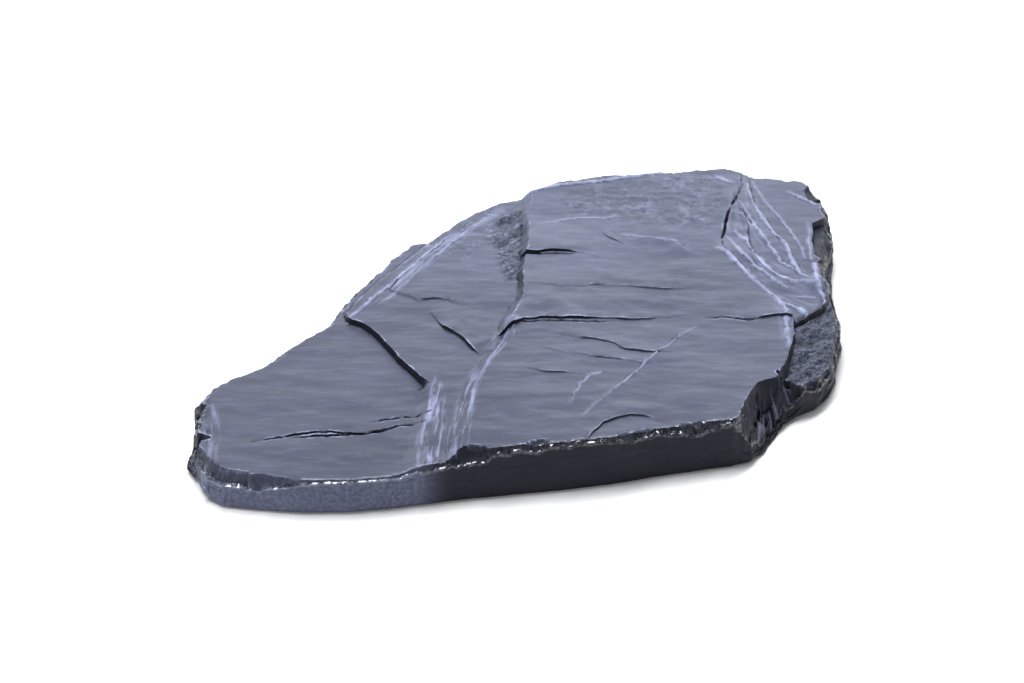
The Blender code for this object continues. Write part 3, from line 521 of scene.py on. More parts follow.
class SlabSettings(bpy.types.PropertyGroup):
    """Sizes and finish of the slab."""

    top_spacing: FloatProperty(
        name="Top spacing", description="Distance between the points of the top", default=0.8 * MM,
        min=0.5 * MM, unit="LENGTH")
    line_spacing: FloatProperty(
        name="Line spacing", description="Distance between points along rims, ledges and cracks",
        default=0.8 * MM, min=0.5 * MM, unit="LENGTH")
    underside_spacing: FloatProperty(
        name="Underside spacing", description="Distance between the points of the underside",
        default=1.9 * MM, min=0.8 * MM, unit="LENGTH")
    wall_rows: IntProperty(
        name="Wall rows", description="Rows of faces from the rim down to the foot", default=30, min=8,
        max=60)
    seed: IntProperty(
        name="Seed", description="Changes where the chips and the grain fall", default=7, min=0)
    ripple_height: FloatProperty(
        name="Ripple height", description="Height of the long ripples on the cleavage faces",
        default=0.085 * MM, min=0, unit="LENGTH")
    ripple_width: FloatProperty(
        name="Ripple width", description="Distance from one ripple to the next", default=4.0 * MM, min=MM,
        unit="LENGTH")
    ridge_height: FloatProperty(
        name="Ridge height", description="Height of the ridges that run along the scuffs",
        default=0.28 * MM, min=0, unit="LENGTH")
    ridge_width: FloatProperty(
        name="Ridge width", description="Distance from one scuffed ridge to the next", default=1.8 * MM,
        min=MM, unit="LENGTH")
    grain_depth: FloatProperty(
        name="Grain depth", description="Relief of the grain on broken faces", default=0.5 * MM, min=0,
        unit="LENGTH")
    grain_size: FloatProperty(
        name="Grain size", description="Size of the lumps on broken faces", default=3.2 * MM, min=MM,
        unit="LENGTH")
    dark_colour: FloatVectorProperty(
        name="Dark colour", description="Colour of the darker clouds on the cleavage faces",
        subtype="COLOR", size=3, default=(0.043, 0.0475, 0.076), min=0, max=1)
    light_colour: FloatVectorProperty(
        name="Light colour", description="Colour of the lighter clouds on the cleavage faces",
        subtype="COLOR", size=3, default=(0.063, 0.069, 0.106), min=0, max=1)
    # Pale of the scuffs, proud edges and ridges: partly wear, partly painted highlight.
    scuff_and_highlight_colour: FloatVectorProperty(
        name="Scuff and highlight colour", description="Colour of the pale scuffs on bevels and ledges", subtype="COLOR",
        size=3, default=(0.27, 0.29, 0.44), min=0, max=1)
    # Near-black of the steep and broken stone: partly the wet stone's own dark, partly painted shade.
    wall_colour: FloatVectorProperty(
        name="Wall colour", description="Colour of the wet broken edges", subtype="COLOR", size=3,
        default=(0.0075, 0.0085, 0.014), min=0, max=1)
    roughness: FloatProperty(
        name="Roughness", description="Roughness of the wet cleavage faces", default=0.42, min=0, max=1,
        subtype="FACTOR")
    # Painted shade: how much the cleavage faces are darkened towards the front edge.
    painted_front_shade: FloatProperty(
        name="Painted front shade", description="How much darker the faces are at the front edge than at the back",
        default=0.22, min=0, max=1, subtype="FACTOR")
    sheen: FloatProperty(
        name="Sheen", description="Strength of the stone's own reflection", default=0.2, min=0, max=1,
        subtype="FACTOR")
    sheen_colour: FloatVectorProperty(
        name="Sheen colour", description="Colour of the stone's own reflection", subtype="COLOR", size=3,
        default=(0.8, 0.86, 1.0), min=0, max=1)


class StageSettings(bpy.types.PropertyGroup):
    """The floor, the lights and the camera."""

    floor_size: FloatProperty(
        name="Floor size", description="Side of the floor", default=12.0, min=1.0, unit="LENGTH")
    floor_colour: FloatVectorProperty(
        name="Floor colour", description="Colour of the floor", subtype="COLOR", size=3,
        default=(0.85, 0.835, 0.82), min=0, max=1)
    room_light: FloatProperty(
        name="Room light", description="Brightness of the room all round", default=0.45, min=0)
    light_colour: FloatVectorProperty(
        name="Light colour", description="Colour of the lights and the room", subtype="COLOR", size=3,
        default=(0.94, 0.965, 1.0), min=0, max=1)
    elevation: FloatProperty(
        name="Camera elevation", description="Angle of the view above the horizon",
        default=math.radians(38), subtype="ANGLE")
    distance: FloatProperty(
        name="Camera distance", description="From the camera to the slab", default=1.5, min=0.3,
        unit="LENGTH")
    view_width: FloatProperty(
        name="View width", description="Width that the picture covers at the slab", default=0.3303,
        min=0.05, unit="LENGTH")


def unit_normals(path, closed):
    """The left-hand unit normal at each point of a path."""
    if closed:
        along = np.roll(path, -1, axis=0) - np.roll(path, 1, axis=0)
    else:
        along = np.gradient(path, axis=0)
    left = np.stack([-along[:, 1], along[:, 0]], axis=1)
    return left / np.linalg.norm(left, axis=1, keepdims=True)


def anticlockwise(edge):
    """The closed path turned so that its inside is on its left."""
    x, y = edge[:, 0], edge[:, 1]
    twice_area = np.sum(x * np.roll(y, -1) - y * np.roll(x, -1))
    return edge if twice_area > 0 else edge[::-1]


def resampled(path, spacing, closed):
    """The path with points no further apart than spacing. Columns after x and y are carried along."""
    path = np.asarray(path, float)
    ends = np.vstack([path, path[:1]]) if closed else path
    out = []
    for start, end in zip(ends[:-1], ends[1:]):
        steps = max(1, math.ceil(np.linalg.norm(end[:2] - start[:2]) / spacing))
        out.extend(start + (end - start) * k / steps for k in range(steps))
    if not closed:
        out.append(ends[-1])
    return np.array(out)


def fractal(points, run, across, level, octaves, roughness=0.9):
    """Smooth noise of about -1 to 1 at each point, with features run long in x and across wide in y."""
    return np.array([
        noise.fractal(Vector((p[0] / run, p[1] / across, level)), roughness, LACUNARITY, octaves)
        for p in points
    ])


def jagged(path, spacing, closed=False):
    """The path, resampled and strayed to either side, as a broken edge strays."""
    path = resampled(path, spacing, closed)
    stray = JAG * fractal(path, *JAG_NOISE)
    stray += SPLINTER * fractal(path, *SPLINTER_NOISE)
    stray += FLUTED_STRAY * zone_share(path[:, :2], [FLUTED_ZONE]) * fractal(path, *FLUTED_NOISE)
    strayed = path.copy()
    strayed[:, :2] += unit_normals(path[:, :2], closed) * stray[:, None]
    return strayed


def broken_ring(edge, spacing):
    """The closed path strayed as a broken edge, with its inside on its left."""
    return anticlockwise(jagged(edge, spacing, closed=True))


def measured(points, path, closed=False):
    """For each point: its distance from the path, +1 left or -1 right of it, and the path's other columns."""
    count = len(path)
    tree = KDTree(count)
    for k, place in enumerate(path):
        tree.insert((place[0], place[1], 0), k)
    tree.balance()
    corner = np.array([tree.find((x, y, 0))[1] for x, y in points])
    run = (np.roll(path, -1, axis=0) - path)[:, :2]
    turn = run / np.linalg.norm(run, axis=1, keepdims=True)
    before, after = np.roll(turn, 1, axis=0), np.roll(turn, -1, axis=0)
    if not closed:
        before[0], after[count - 2] = turn[0], turn[count - 2]
    nearest = np.full(len(points), np.inf)
    side = np.ones(len(points))
    carried = np.zeros((len(points), path.shape[1] - 2))
    for k in (corner - 1, corner):
        k = k % count if closed else np.clip(k, 0, count - 2)
        start, end = path[k], path[(k + 1) % count]
        share = np.clip(np.sum((points - start[:, :2]) * run[k], axis=1) / np.sum(run[k] ** 2, axis=1), 0, 1)
        away = points - start[:, :2] - share[:, None] * run[k]
        distance = np.hypot(away[:, 0], away[:, 1])
        heading = np.where((share <= 0)[:, None], before[k] + turn[k], turn[k])
        heading = np.where((share >= 1)[:, None], after[k] + turn[k], heading)
        cross = heading[:, 0] * away[:, 1] - heading[:, 1] * away[:, 0]
        closer = distance < nearest
        nearest[closer] = distance[closer]
        side[closer] = np.where(cross[closer] >= 0, 1.0, -1.0)
        carried[closer] = (start[:, 2:] + share[:, None] * (end - start)[:, 2:])[closer]
    return nearest, side, carried


def smoothstep(x):
    x = np.clip(x, 0, 1)
    return x * x * (3 - 2 * x)


def ramp(x, low, high):
    """A smooth rise from 0 at low to 1 at high."""
    return smoothstep((x - low) / (high - low))


def stepped(values, steps):
    """The values broken into flat treads with short risers."""
    scaled = values * steps
    tread = np.floor(scaled)
    return (tread + smoothstep((scaled - tread) * 3 - 1)) / steps


def relief(points, form):
    """Height of stepped relief at each point."""
    return form["height"] * stepped(fractal(points, *form["noise"]), form["treads"])


def varied(points, form):
    """A share for each point, which varies smoothly around its mean."""
    share = form["mean"] + form["swing"] * fractal(points, *form["noise"])
    return np.clip(share, form["least"], form["most"])


def turned(degrees):
    """The matrix whose columns are the plan's axes turned by this much."""
    c, s = math.cos(math.radians(degrees)), math.sin(math.radians(degrees))
    return np.array([[c, -s], [s, c]])


def runs(line, wanted):
    """The stretches of a line whose points are all wanted."""
    cuts = np.flatnonzero(np.diff(wanted.astype(int))) + 1
    return [run for run, ok in zip(np.split(line, cuts), np.split(wanted, cuts)) if ok[0]]


def inside(points, ring, margin):
    """Which points lie inside the ring by more than margin."""
    distance, side, _ = measured(points, ring, closed=True)
    return (side > 0) & (distance > margin)


def zone_share(points, zones):
    """How far each point lies in the zones, 0 to 1, with each zone's soft edge."""
    share = np.zeros(len(points))
    for zone in zones:
        edge = anticlockwise(resampled(zone["edge"], 4.0, closed=True))
        distance, side, _ = measured(points, edge, closed=True)
        share = np.maximum(share, smoothstep(0.5 + side * distance / zone["fade"]))
    return share


class Form:
    """The slab's lines at this mesh's spacing, and the height of its top and underside over the plan."""

    def __init__(self, spacing, seed):
        self.spacing = spacing
        self.smooth_outline = resampled(OUTLINE, spacing, closed=True)
        self.outline = jagged(OUTLINE, spacing, closed=True)
        self.outward = -unit_normals(self.smooth_outline[:, :2], closed=True)
        self.beds = [{
            "plane": bed["plane"],
            "edge": broken_ring(bed["edge"], WIDE_SPACING if bed in WIDE_BEDS else spacing),
            "ledges": self.strayed(ledges),
        } for bed, ledges in BEDS]
        self.ledges = self.strayed(FINE_LEDGES)
        self.ridges = [(width, jagged(path, spacing)) for width, path in RIDGES]
        self.cracks = [jagged(crack, spacing) for crack in CRACKS + FINE_CRACKS]
        self.spalls = [{**spall, "edge": broken_ring(spall["edge"], SPALL_SPACING)} for spall in SPALLS]
        self.notches = [{**notch, "edge": broken_ring(notch["edge"], spacing)} for notch in NOTCHES]
        self.chips = self.rim_chips(seed) + CHIPS

    def strayed(self, ledges):
        return [{"reach": ledge["reach"], "path": jagged(ledge["path"], self.spacing)} for ledge in ledges]

    def rim_chips(self, seed):
        """Small chips scattered along the rim: middle, half length, half width, turn and depth."""
        random = np.random.default_rng(seed)
        rim = self.outline[:, :2]
        odds = (1 + CRUMBLY_SHARE * zone_share(rim, [CRUMBLY_ZONE])) * (1 - zone_share(rim, [WORN_RIM_ZONE]))
        places = random.choice(len(self.outline), RIM_CHIPS, replace=False, p=odds / odds.sum())
        chips = []
        for place in places:
            across = self.outward[place]
            turn = math.degrees(math.atan2(across[1], across[0])) + 90
            size = random.uniform() ** 2
            length, width, depth = (
                low + (high - low) * size for low, high in (RIM_CHIP_LENGTH, RIM_CHIP_WIDTH, RIM_CHIP_DEPTH))
            x, y = self.outline[place, :2] - across * random.uniform(*RIM_CHIP_INSET) * width
            chips.append((x, y, length, width, turn + random.uniform(-RIM_CHIP_TURN, RIM_CHIP_TURN), depth))
        return chips

    def ledge_rise(self, points, ledge):
        distance, side, carried = measured(points, ledge["path"])
        signed = distance * side
        raised = 1 - smoothstep(signed / ledge["reach"])
        face = np.clip(1 + signed / LEDGE_WALL, 0, 1)
        return carried[:, 0] * varied(points, LEDGE_VARIES) * np.where(signed >= 0, raised, face)

    def bed_height(self, points, bed):
        """A bed's plane and ledges, less its fall outside its outline."""
        base, along_x, along_y = bed["plane"]
        height = base + along_x * points[:, 0] + along_y * points[:, 1]
        for ledge in bed["ledges"]:
            height += self.ledge_rise(points, ledge)
        distance, side, carried = measured(points, bed["edge"], closed=True)
        return height - np.where(side < 0, distance * carried[:, 0], 0)

    def chamfer(self, points, widths):
        """Width of the lip, and width and drop of the broken rim with it, which vary along it."""
        wear_and_highlight = zone_share(points, [WORN_RIM_ZONE])
        lip = LIP * (1 + WORN_LIP * wear_and_highlight + CRUMBLY_LIP * zone_share(points, [CRUMBLY_ZONE]))
        wave = 0.5 + 0.5 * (1 - WORN_EVENNESS * wear_and_highlight) * fractal(points, *CHAMFER_NOISE)
        width, drop = (
            widths * (least + more * wave) for least, more in (CHAMFER_WIDTH_SHARE, CHAMFER_DROP_SHARE))
        return lip, lip + width, CHAMFER_STEEPNESS * drop

    def top(self, points):
        """Height of the top, with the facts that its finish follows, in the order of FACTS."""
        height = np.max([self.bed_height(points, bed) for bed in self.beds], axis=0) + self.cleavage(points)
        for ledge in self.ledges:
            height += self.ledge_rise(points, ledge)
        ridged = self.ridges_at(points)
        height += RIDGE_RISE * ridged
        rough, flaky, fluted = (
            zone_share(points, zones) for zones in (ROUGH_ZONES, FLAKY_ZONES, [FLUTED_ZONE]))
        leaning = points @ turned(FLUTE_TURN)
        height += rough * relief(leaning, ROUGH) + flaky * relief(points, FLAKY)
        distance, _, carried = measured(points, self.outline, closed=True)
        lip, width, drop = self.chamfer(points, carried[:, 0])
        share = np.clip((distance - lip) / (width - lip), 0, 1)
        height -= drop * (1 - share ** CHAMFER_HOLLOW)
        height -= LIP_SLOPE * lip * np.clip(1 - distance / lip, 0, 1) ** LIP_CURVE
        height += fluted * ramp(distance, 0, FLUTE_FADE) * relief(leaning, FLUTES)
        broken = np.maximum(fluted, share < 1)
        # The dark of cracks, chips and notches is partly painted shade in their hollows.
        for depth, dark_and_shaded in (self.cracks_at(points), self.chips_at(points), self.notches_at(points)):
            height -= depth
            broken = np.maximum(broken, dark_and_shaded)
        rough = np.maximum.reduce([rough, broken, FLAKY_ROUGHNESS * flaky])
        scuffed, across = self.scuffs(points)
        wet = smoothstep(1 - (distance - lip) / WET_RIM) * (1 - fluted)
        wet *= WET_BACK + (1 - WET_BACK) * smoothstep((WET_FRONT - points[:, 1]) / WET_FADE)
        rough *= 1 - (SMOOTH_LIP + (SMOOTH_WIDE_LIP - SMOOTH_LIP) * (lip / LIP - 1)) * wet
        facts = {
            "rough": rough, "broken": broken, "scuffed": scuffed * (1 - broken), "across": across, "wet": wet,
            "dry_and_painted_light": CHAMFER_DRY_AND_PAINTED_LIGHT * zone_share(points, [DRY_PAINTED_LIGHT_ZONE]), "flaky": np.maximum(flaky, fluted),
            "ridged": ridged,
        }
        return np.maximum(height, LOWEST_RIM), *(facts[name] for name in FACTS)

    def cleavage(self, points):
        """The broad undulation and the low treads of the cleavage faces."""
        lively = CALM_WING + (1 - CALM_WING) * ramp(points[:, 0], *WING_ENDS)
        return UNDULATION * fractal(points, *UNDULATION_NOISE) + lively * relief(points, CLEAVAGE)

    def ridges_at(self, points):
        """How strongly ridged each point is."""
        ridged = np.zeros(len(points))
        for half_width, ridge in self.ridges:
            distance, _, carried = measured(points, ridge)
            breadth = half_width * varied(points, RIDGE_VARIES)
            ridged = np.maximum(ridged, carried[:, 0] * smoothstep(1 - distance / breadth))
        return ridged

    def cracks_at(self, points):
        """How deep the cracks are at each point, and how dark, a painted shade in the crack."""
        total, dark = np.zeros(len(points)), np.zeros(len(points))
        for crack in self.cracks:
            distance, _, carried = measured(points, crack)
            opened = np.clip(1 - distance / CRACK_HALF_WIDTH, 0, 1)
            depth = carried[:, 0] * varied(points, CRACK_VARIES)
            total += depth * opened
            dark = np.maximum(dark, opened * np.clip(depth / CRACK_DARK, 0, 1))
        return total, dark

    def chips_at(self, points):
        """How deep the chips are at each point, and how dark: the broken stone's own dark and painted shade.
        """
        total, dark = np.zeros(len(points)), np.zeros(len(points))
        for x, y, half_length, half_width, turn, depth in self.chips:
            along, across = ((points - (x, y)) @ turned(turn) / (half_length, half_width)).T
            bowl = np.clip(1 - along**2 - across**2, 0, None)
            total += depth * bowl ** CHIP_BOWL
            dark = np.maximum(dark, smoothstep(bowl * CHIP_EDGE) * min(depth / CHIP_DARK, 1))
        return total, dark

    def notches_at(self, points):
        """How deep the notches are at each point, and how dark: painted shade in the hollow."""
        total, dark = np.zeros(len(points)), np.zeros(len(points))
        for notch in self.notches:
            distance, side, _ = measured(points, notch["edge"], closed=True)
            within = np.clip(side * distance / NOTCH_WALL, 0, 1)
            total += notch["depth"] * within
            dark = np.maximum(dark, NOTCH_DARKNESS * within)
        return total, dark

    def scuffs(self, points):
        """How scuffed each point is, and how far across the scuffs' guide line it lies."""
        scuffed, across = np.zeros(len(points)), np.zeros(len(points))
        for zone in SCUFF_ZONES:
            share = zone["strength"] * zone_share(points, [zone])
            distance, side, _ = measured(points, resampled(zone["guide"], 2.0, closed=False))
            across = np.where(share > scuffed, distance * side * MM, across)
            scuffed = np.maximum(scuffed, share)
        return scuffed, across

    def underside(self, points):
        height = np.zeros(len(points))
        for spall in self.spalls:
            distance, side, _ = measured(points, spall["edge"], closed=True)
            height = np.maximum(height, spall["depth"] * np.clip(side * distance / SPALL_WALL, 0, 1))
        return height

    def top_lines(self):
        """The lines that the top's mesh follows: lip and broken rim, the beds' rims, ledges and cracks."""
        rim = self.outline[:, :2]
        inward = unit_normals(rim, closed=True)
        lip, width, _ = self.chamfer(rim, self.outline[:, 2])
        offsets = [lip / 2, lip, width, (width + lip) / 2]
        rings = [rim + out[:, None] * inward for out in offsets]
        rings += [bed["edge"][:, :2] for bed in self.beds[2:]]
        for notch in self.notches:
            edge = notch["edge"]
            rings += [edge[:, :2], edge[:, :2] + NOTCH_WALL * unit_normals(edge, closed=True)]
        lines = [np.vstack([ring, ring[:1]]) for ring in rings]
        for bed in self.beds[2:]:
            foot, shows = self.foot(bed)
            lines += runs(np.vstack([foot, foot[:1]]), np.append(shows, shows[0]))
        for ledge in [*self.ledges, *(ledge for bed in self.beds for ledge in bed["ledges"])]:
            path = ledge["path"][:, :2]
            lines += [path, path - LEDGE_WALL * unit_normals(path, closed=False)]
        for crack in self.cracks:
            path = crack[:, :2]
            beside = CRACK_HALF_WIDTH * unit_normals(path, closed=False)
            lines += [path, path + beside, path - beside]
        return lines + [ridge[:, :2] for _, ridge in self.ridges]

    def foot(self, bed):
        """The line where a bed's broken edge ends on the beds around it, and where it shows above them."""
        rim, falls = bed["edge"][:, :2], bed["edge"][:, 2]
        outward = -unit_normals(rim, closed=True)
        others = [other for other in self.beds if other is not bed]
        height = self.bed_height(rim, bed)
        reach = np.zeros(len(rim))
        for _ in range(2):
            around = rim + reach[:, None] * outward
            drop = height - np.max([self.bed_height(around, other) for other in others], axis=0)
            reach = np.clip(drop / falls, 0, LONGEST_FALL)
        return rim + reach[:, None] * outward, (reach > SHORTEST_FALL) & (reach < LONGEST_FALL)

    def underside_lines(self):
        lines = []
        for spall in self.spalls:
            edge = spall["edge"]
            within = edge + SPALL_WALL * unit_normals(edge, closed=True)
            lines += [np.vstack([edge, edge[:1]]), np.vstack([within, within[:1]])]
        return lines

    def wall_rows(self, count):
        """The rows of the wall from the rim down to the foot, each an array of x, y, z."""
        rim = self.outline[:, :2]
        height = self.top(rim)[0]
        calm = 1 - ramp(-self.outward[:, 1], *SMOOTH_FRONT)
        thick = []
        for level, high in enumerate(LAMINAE[1:]):
            stands = LAMINA_RELIEF * fractal(
                rim, LAMINA_RUN, LAMINA_RUN, LAMINA_APART * level, LAMINA_OCTAVES, LAMINA_ROUGHNESS)
            thick.append(calm * stands + (self.outline[:, 3] if high < STEP_SHARE else 0))
        beside = [share + gap for share in LAMINAE[1:-1] for gap in (-LAMINA_GAP, LAMINA_GAP)]
        shares = np.unique(np.concatenate([np.linspace(0, 1, count - len(beside)), beside]).round(4))
        smooth = self.smooth_outline[:, :2]
        foot = smooth + WALL_FOLLOWS * (rim - smooth) + self.outward * (thick[0] - FOOT_INSET)[:, None]
        bottom = self.underside(foot)
        rows = []
        for share in shares[::-1]:
            level = max(k for k, low in enumerate(LAMINAE[:-1]) if low <= share or k == 0)
            z = bottom + (height - bottom) * share
            out = thick[level] * ramp(1 - share, 0, LAMINA_EASE)
            out += THIN_RELIEF * calm * self.thin_laminae(z) * ramp(1 - share, 0, THIN_EASE)
            out -= FOOT_INSET * (1 - share / LAMINAE[1]) ** 2 if share < LAMINAE[1] else 0
            follows = WALL_FOLLOWS + (1 - WALL_FOLLOWS) * ramp(share, *FOLLOWING)
            rows.append(np.column_stack([smooth + follows * (rim - smooth) + self.outward * out[:, None], z]))
        rows[-1] = np.column_stack([foot, bottom])
        return rows

    def thin_laminae(self, z):
        """How far the thin laminae stand in or out along the rim's line, at the heights z."""
        rim = self.outline[:, :2]
        lamina = np.floor(z / THIN_LAMINA + THIN_SAG * fractal(rim, *THIN_SAG_NOISE))
        places = np.column_stack([rim / THIN_RUN, THIN_APART * lamina])
        return np.array([
            noise.fractal(Vector(place), LAMINA_ROUGHNESS, LACUNARITY, LAMINA_OCTAVES) for place in places
        ])

    def wall_facts(self, count):
        """The facts of the wall's points, row by row from the rim down, in the order of FACTS."""
        rim = self.outline[:, :2]
        facts = {name: np.zeros((count, len(rim))) for name in FACTS}
        facts["rough"][:] = facts["broken"][:] = 1.0
        facts["wet"][:2] = 1.0
        facts["dry_and_painted_light"][:] = np.maximum(
            zone_share(rim, [DRY_PAINTED_LIGHT_ZONE]), BACK_DRY_AND_PAINTED_LIGHT * ramp(self.outward[:, 1], *FACING_BACK))
        return np.column_stack([facts[name].ravel() for name in FACTS])


def fill_points(low, high, spacing):
    """A lattice of triangles over the box, row by row."""
    points = []
    row_gap = spacing * math.sqrt(3) / 2
    for row in range(math.ceil((high[1] - low[1]) / row_gap)):
        y = low[1] + row * row_gap
        offset = spacing / 2 * (row % 2)
        points += [(x, y) for x in np.arange(low[0] + offset, high[0], spacing)]
    return np.array(points)


def filling(ring, spacing, fine_zones):
    """Lattices to fill the ring with, each with its spacing: one for the fine zones and one for the rest."""
    wide = fill_points(ring.min(axis=0), ring.max(axis=0), spacing)
    if not fine_zones:
        return [(wide, spacing)]
    corners = np.vstack([zone["edge"] for zone in fine_zones])
    close = fill_points(corners.min(axis=0), corners.max(axis=0), spacing * FINE_SHARE)
    return [
        (wide[zone_share(wide, fine_zones) <= 0.5], spacing),
        (close[zone_share(close, fine_zones) > 0.5], spacing * FINE_SHARE),
    ]


def plan_mesh(ring, lines, spacing, fine_zones=()):
    """(points, triangles, ring places) over the ring's inside, with the lines as edges where they are clear
    of it. A ring place is the ring's point that a point stands for, or -1."""
    points = [tuple(p) for p in ring]
    edges = [(k, (k + 1) % len(ring)) for k in range(len(ring))]
    for line in lines:
        for run in runs(line, inside(line, ring, LINE_MARGIN)):
            edges += [(len(points) + k, len(points) + k + 1) for k in range(len(run) - 1)]
            points += [tuple(p) for p in run]
    tree = KDTree(len(points))
    for k, (x, y) in enumerate(points):
        tree.insert((x, y, 0), k)
    tree.balance()
    for lattice, gap in filling(ring, spacing, fine_zones):
        lattice = lattice[inside(lattice, ring, gap * CLEARANCE)]
        points += [(x, y) for x, y in lattice if tree.find((x, y, 0))[2] > gap * CLEARANCE]
    found = delaunay_2d_cdt([Vector(p) for p in points], edges, [], 1, MERGE)
    places = np.array([min(origins) if origins and min(origins) < len(ring) else -1 for origins in found[3]])
    return np.array([tuple(v) for v in found[0]]), found[2], places


def slab_mesh(settings):
    """The slab's fine mesh: the top over the plan, the wall row by row and the underside, sharing points."""
    form = Form(settings.line_spacing / MM, settings.seed)
    rows = form.wall_rows(settings.wall_rows)
    around = len(form.outline)
    places, facts = [np.vstack(rows)], [form.wall_facts(len(rows))]
    triangles = []
    for row in range(len(rows) - 1):
        for k in range(around):
            after = (k + 1) % around
            a, b = row * around + k, row * around + after
            triangles += [(a, a + around, b + around), (a, b + around, b)]

    def sheet(first, ring, lines, spacing, surface, upward, fine_zones=()):
        points, faces, ring_places = plan_mesh(ring, lines, spacing, fine_zones)
        offset = sum(len(block) for block in places)
        index = np.where(ring_places >= 0, first + ring_places, 0)
        own = ring_places < 0
        index[own] = offset + np.arange(own.sum())
        height, *shares = surface(points[own])
        places.append(np.column_stack([points[own], height]))
        facts.append(np.column_stack(shares))
        triangles.extend(tuple(index[k] for k in (face if upward else face[::-1])) for face in faces)

    def below(points):
        facts = (np.full(len(points), UNDERSIDE_FACTS.get(name, 0.0)) for name in FACTS)
        return form.underside(points), *facts

    sheet(0, rows[0][:, :2], form.top_lines(), settings.top_spacing / MM, form.top, True, FINE_ZONES)
    first = around * (len(rows) - 1)
    sheet(first, rows[-1][:, :2], form.underside_lines(), settings.underside_spacing / MM, below, False)
    mesh = bpy.data.meshes.new("slate_stone")
    mesh.from_pydata((np.vstack(places) - (*MIDDLE, 0)) * MM, [], triangles)
    for name, values in zip(FACTS, np.vstack(facts).T):
        mesh.attributes.new(name, "FLOAT", "POINT").data.foreach_set("value", values.astype(np.float32))
    mesh.update()
    return mesh


def add_node(tree, kind, inputs=None, **properties):
    """A node with its properties and inputs set. An input that is given a socket is linked to it."""
    node = tree.nodes.new(kind)
    for name, value in properties.items():
        setattr(node, name, value)
    for name, value in (inputs or {}).items():
        if isinstance(value, bpy.types.NodeSocket):
            tree.links.new(value, node.inputs[name])
        else:
            node.inputs[name].default_value = value
    return node


RELIEF_INPUTS = {  # the inputs of the relief's tree, and the settings that they take
    "Ripple Height": "ripple_height", "Ripple Width": "ripple_width", "Grain Depth": "grain_depth",
    "Grain Size": "grain_size", "Ridge Height": "ridge_height", "Ridge Width": "ridge_width",
}


def relief_tree():
    """Geometry Nodes: ripples on the cleavage faces, ridges along the scuffs, and on the broken stone lumps
    where it faces up and layers where it is steep. All of it is pushed along the normals."""
    tree = bpy.data.node_groups.new("stone relief", "GeometryNodeTree")
    tree.interface.new_socket("Geometry", in_out="INPUT", socket_type="NodeSocketGeometry")
    for name in (*RELIEF_INPUTS, "Seed"):
        tree.interface.new_socket(name, in_out="INPUT", socket_type="NodeSocketFloat")
    tree.interface.new_socket("Stone", in_out="INPUT", socket_type="NodeSocketMaterial")
    tree.interface.new_socket("Geometry", in_out="OUTPUT", socket_type="NodeSocketGeometry")
    given = tree.nodes.new("NodeGroupInput").outputs
    place = add_node(tree, "GeometryNodeInputPosition").outputs["Position"]
    normal = add_node(tree, "GeometryNodeInputNormal").outputs["Normal"]

    def fact(name):
        node = add_node(tree, "GeometryNodeInputNamedAttribute", {"Name": name}, data_type="FLOAT")
        return node.outputs["Attribute"]

    def math_node(operation, a, b=0.0):
        return add_node(tree, "ShaderNodeMath", {0: a, 1: b}, operation=operation).outputs[0]

    def separate(vector):
        return add_node(tree, "ShaderNodeSeparateXYZ", {"Vector": vector}).outputs

    def waves(vector, stretch, size, detail, height, share):
        stretched = add_node(tree, "ShaderNodeVectorMath", {0: vector, 1: stretch}, operation="MULTIPLY")
        inputs = {0: stretched.outputs[0], "Scale": math_node("DIVIDE", 1.0, size)}
        scaled = add_node(tree, "ShaderNodeVectorMath", inputs, operation="SCALE").outputs[0]
        grain = add_node(
            tree, "ShaderNodeTexNoise",
            {"Vector": scaled, "W": given["Seed"], "Scale": 1.0, "Detail": detail, "Roughness": 0.55},
            noise_dimensions="4D").outputs["Fac"]
        return math_node("MULTIPLY", math_node("MULTIPLY", math_node("SUBTRACT", grain, 0.5), height), share)

    rough, scuffed = fact("rough"), fact("scuffed")
    level = math_node("ABSOLUTE", separate(normal)["Z"])
    lumpy = math_node("MULTIPLY", rough, level)
    layered = math_node("SUBTRACT", rough, lumpy)
    along = separate(place)
    beside = add_node(
        tree, "ShaderNodeCombineXYZ", {"X": fact("across"), "Y": along["Y"], "Z": along["X"]}).outputs[0]
    whole = math_node("SUBTRACT", 1.0, rough)
    rise = waves(place, RIPPLE_STRETCH, given["Ripple Width"], 3.0, given["Ripple Height"], whole)
    for waving in (
        waves(place, (1.0, 1.0, 1.0), given["Grain Size"], 4.0, given["Grain Depth"], lumpy),
        waves(place, LAYER_STRETCH, given["Grain Size"], 3.0, given["Grain Depth"], layered),
        waves(beside, RIDGE_STRETCH, given["Ridge Width"], 3.0, given["Ridge Height"], scuffed),
    ):
        rise = math_node("ADD", rise, waving)
    offset = add_node(tree, "ShaderNodeVectorMath", {0: normal, "Scale": rise}, operation="SCALE").outputs[0]
    moved = add_node(tree, "GeometryNodeSetPosition", {"Geometry": given["Geometry"], "Offset": offset})
    real = add_node(tree, "GeometryNodeRealizeInstances", {"Geometry": moved.outputs["Geometry"]})
    finished = add_node(
        tree, "GeometryNodeSetMaterial", {"Geometry": real.outputs["Geometry"], "Material": given["Stone"]})
    add_node(tree, "NodeGroupOutput", {"Geometry": finished.outputs["Geometry"]})
    return tree


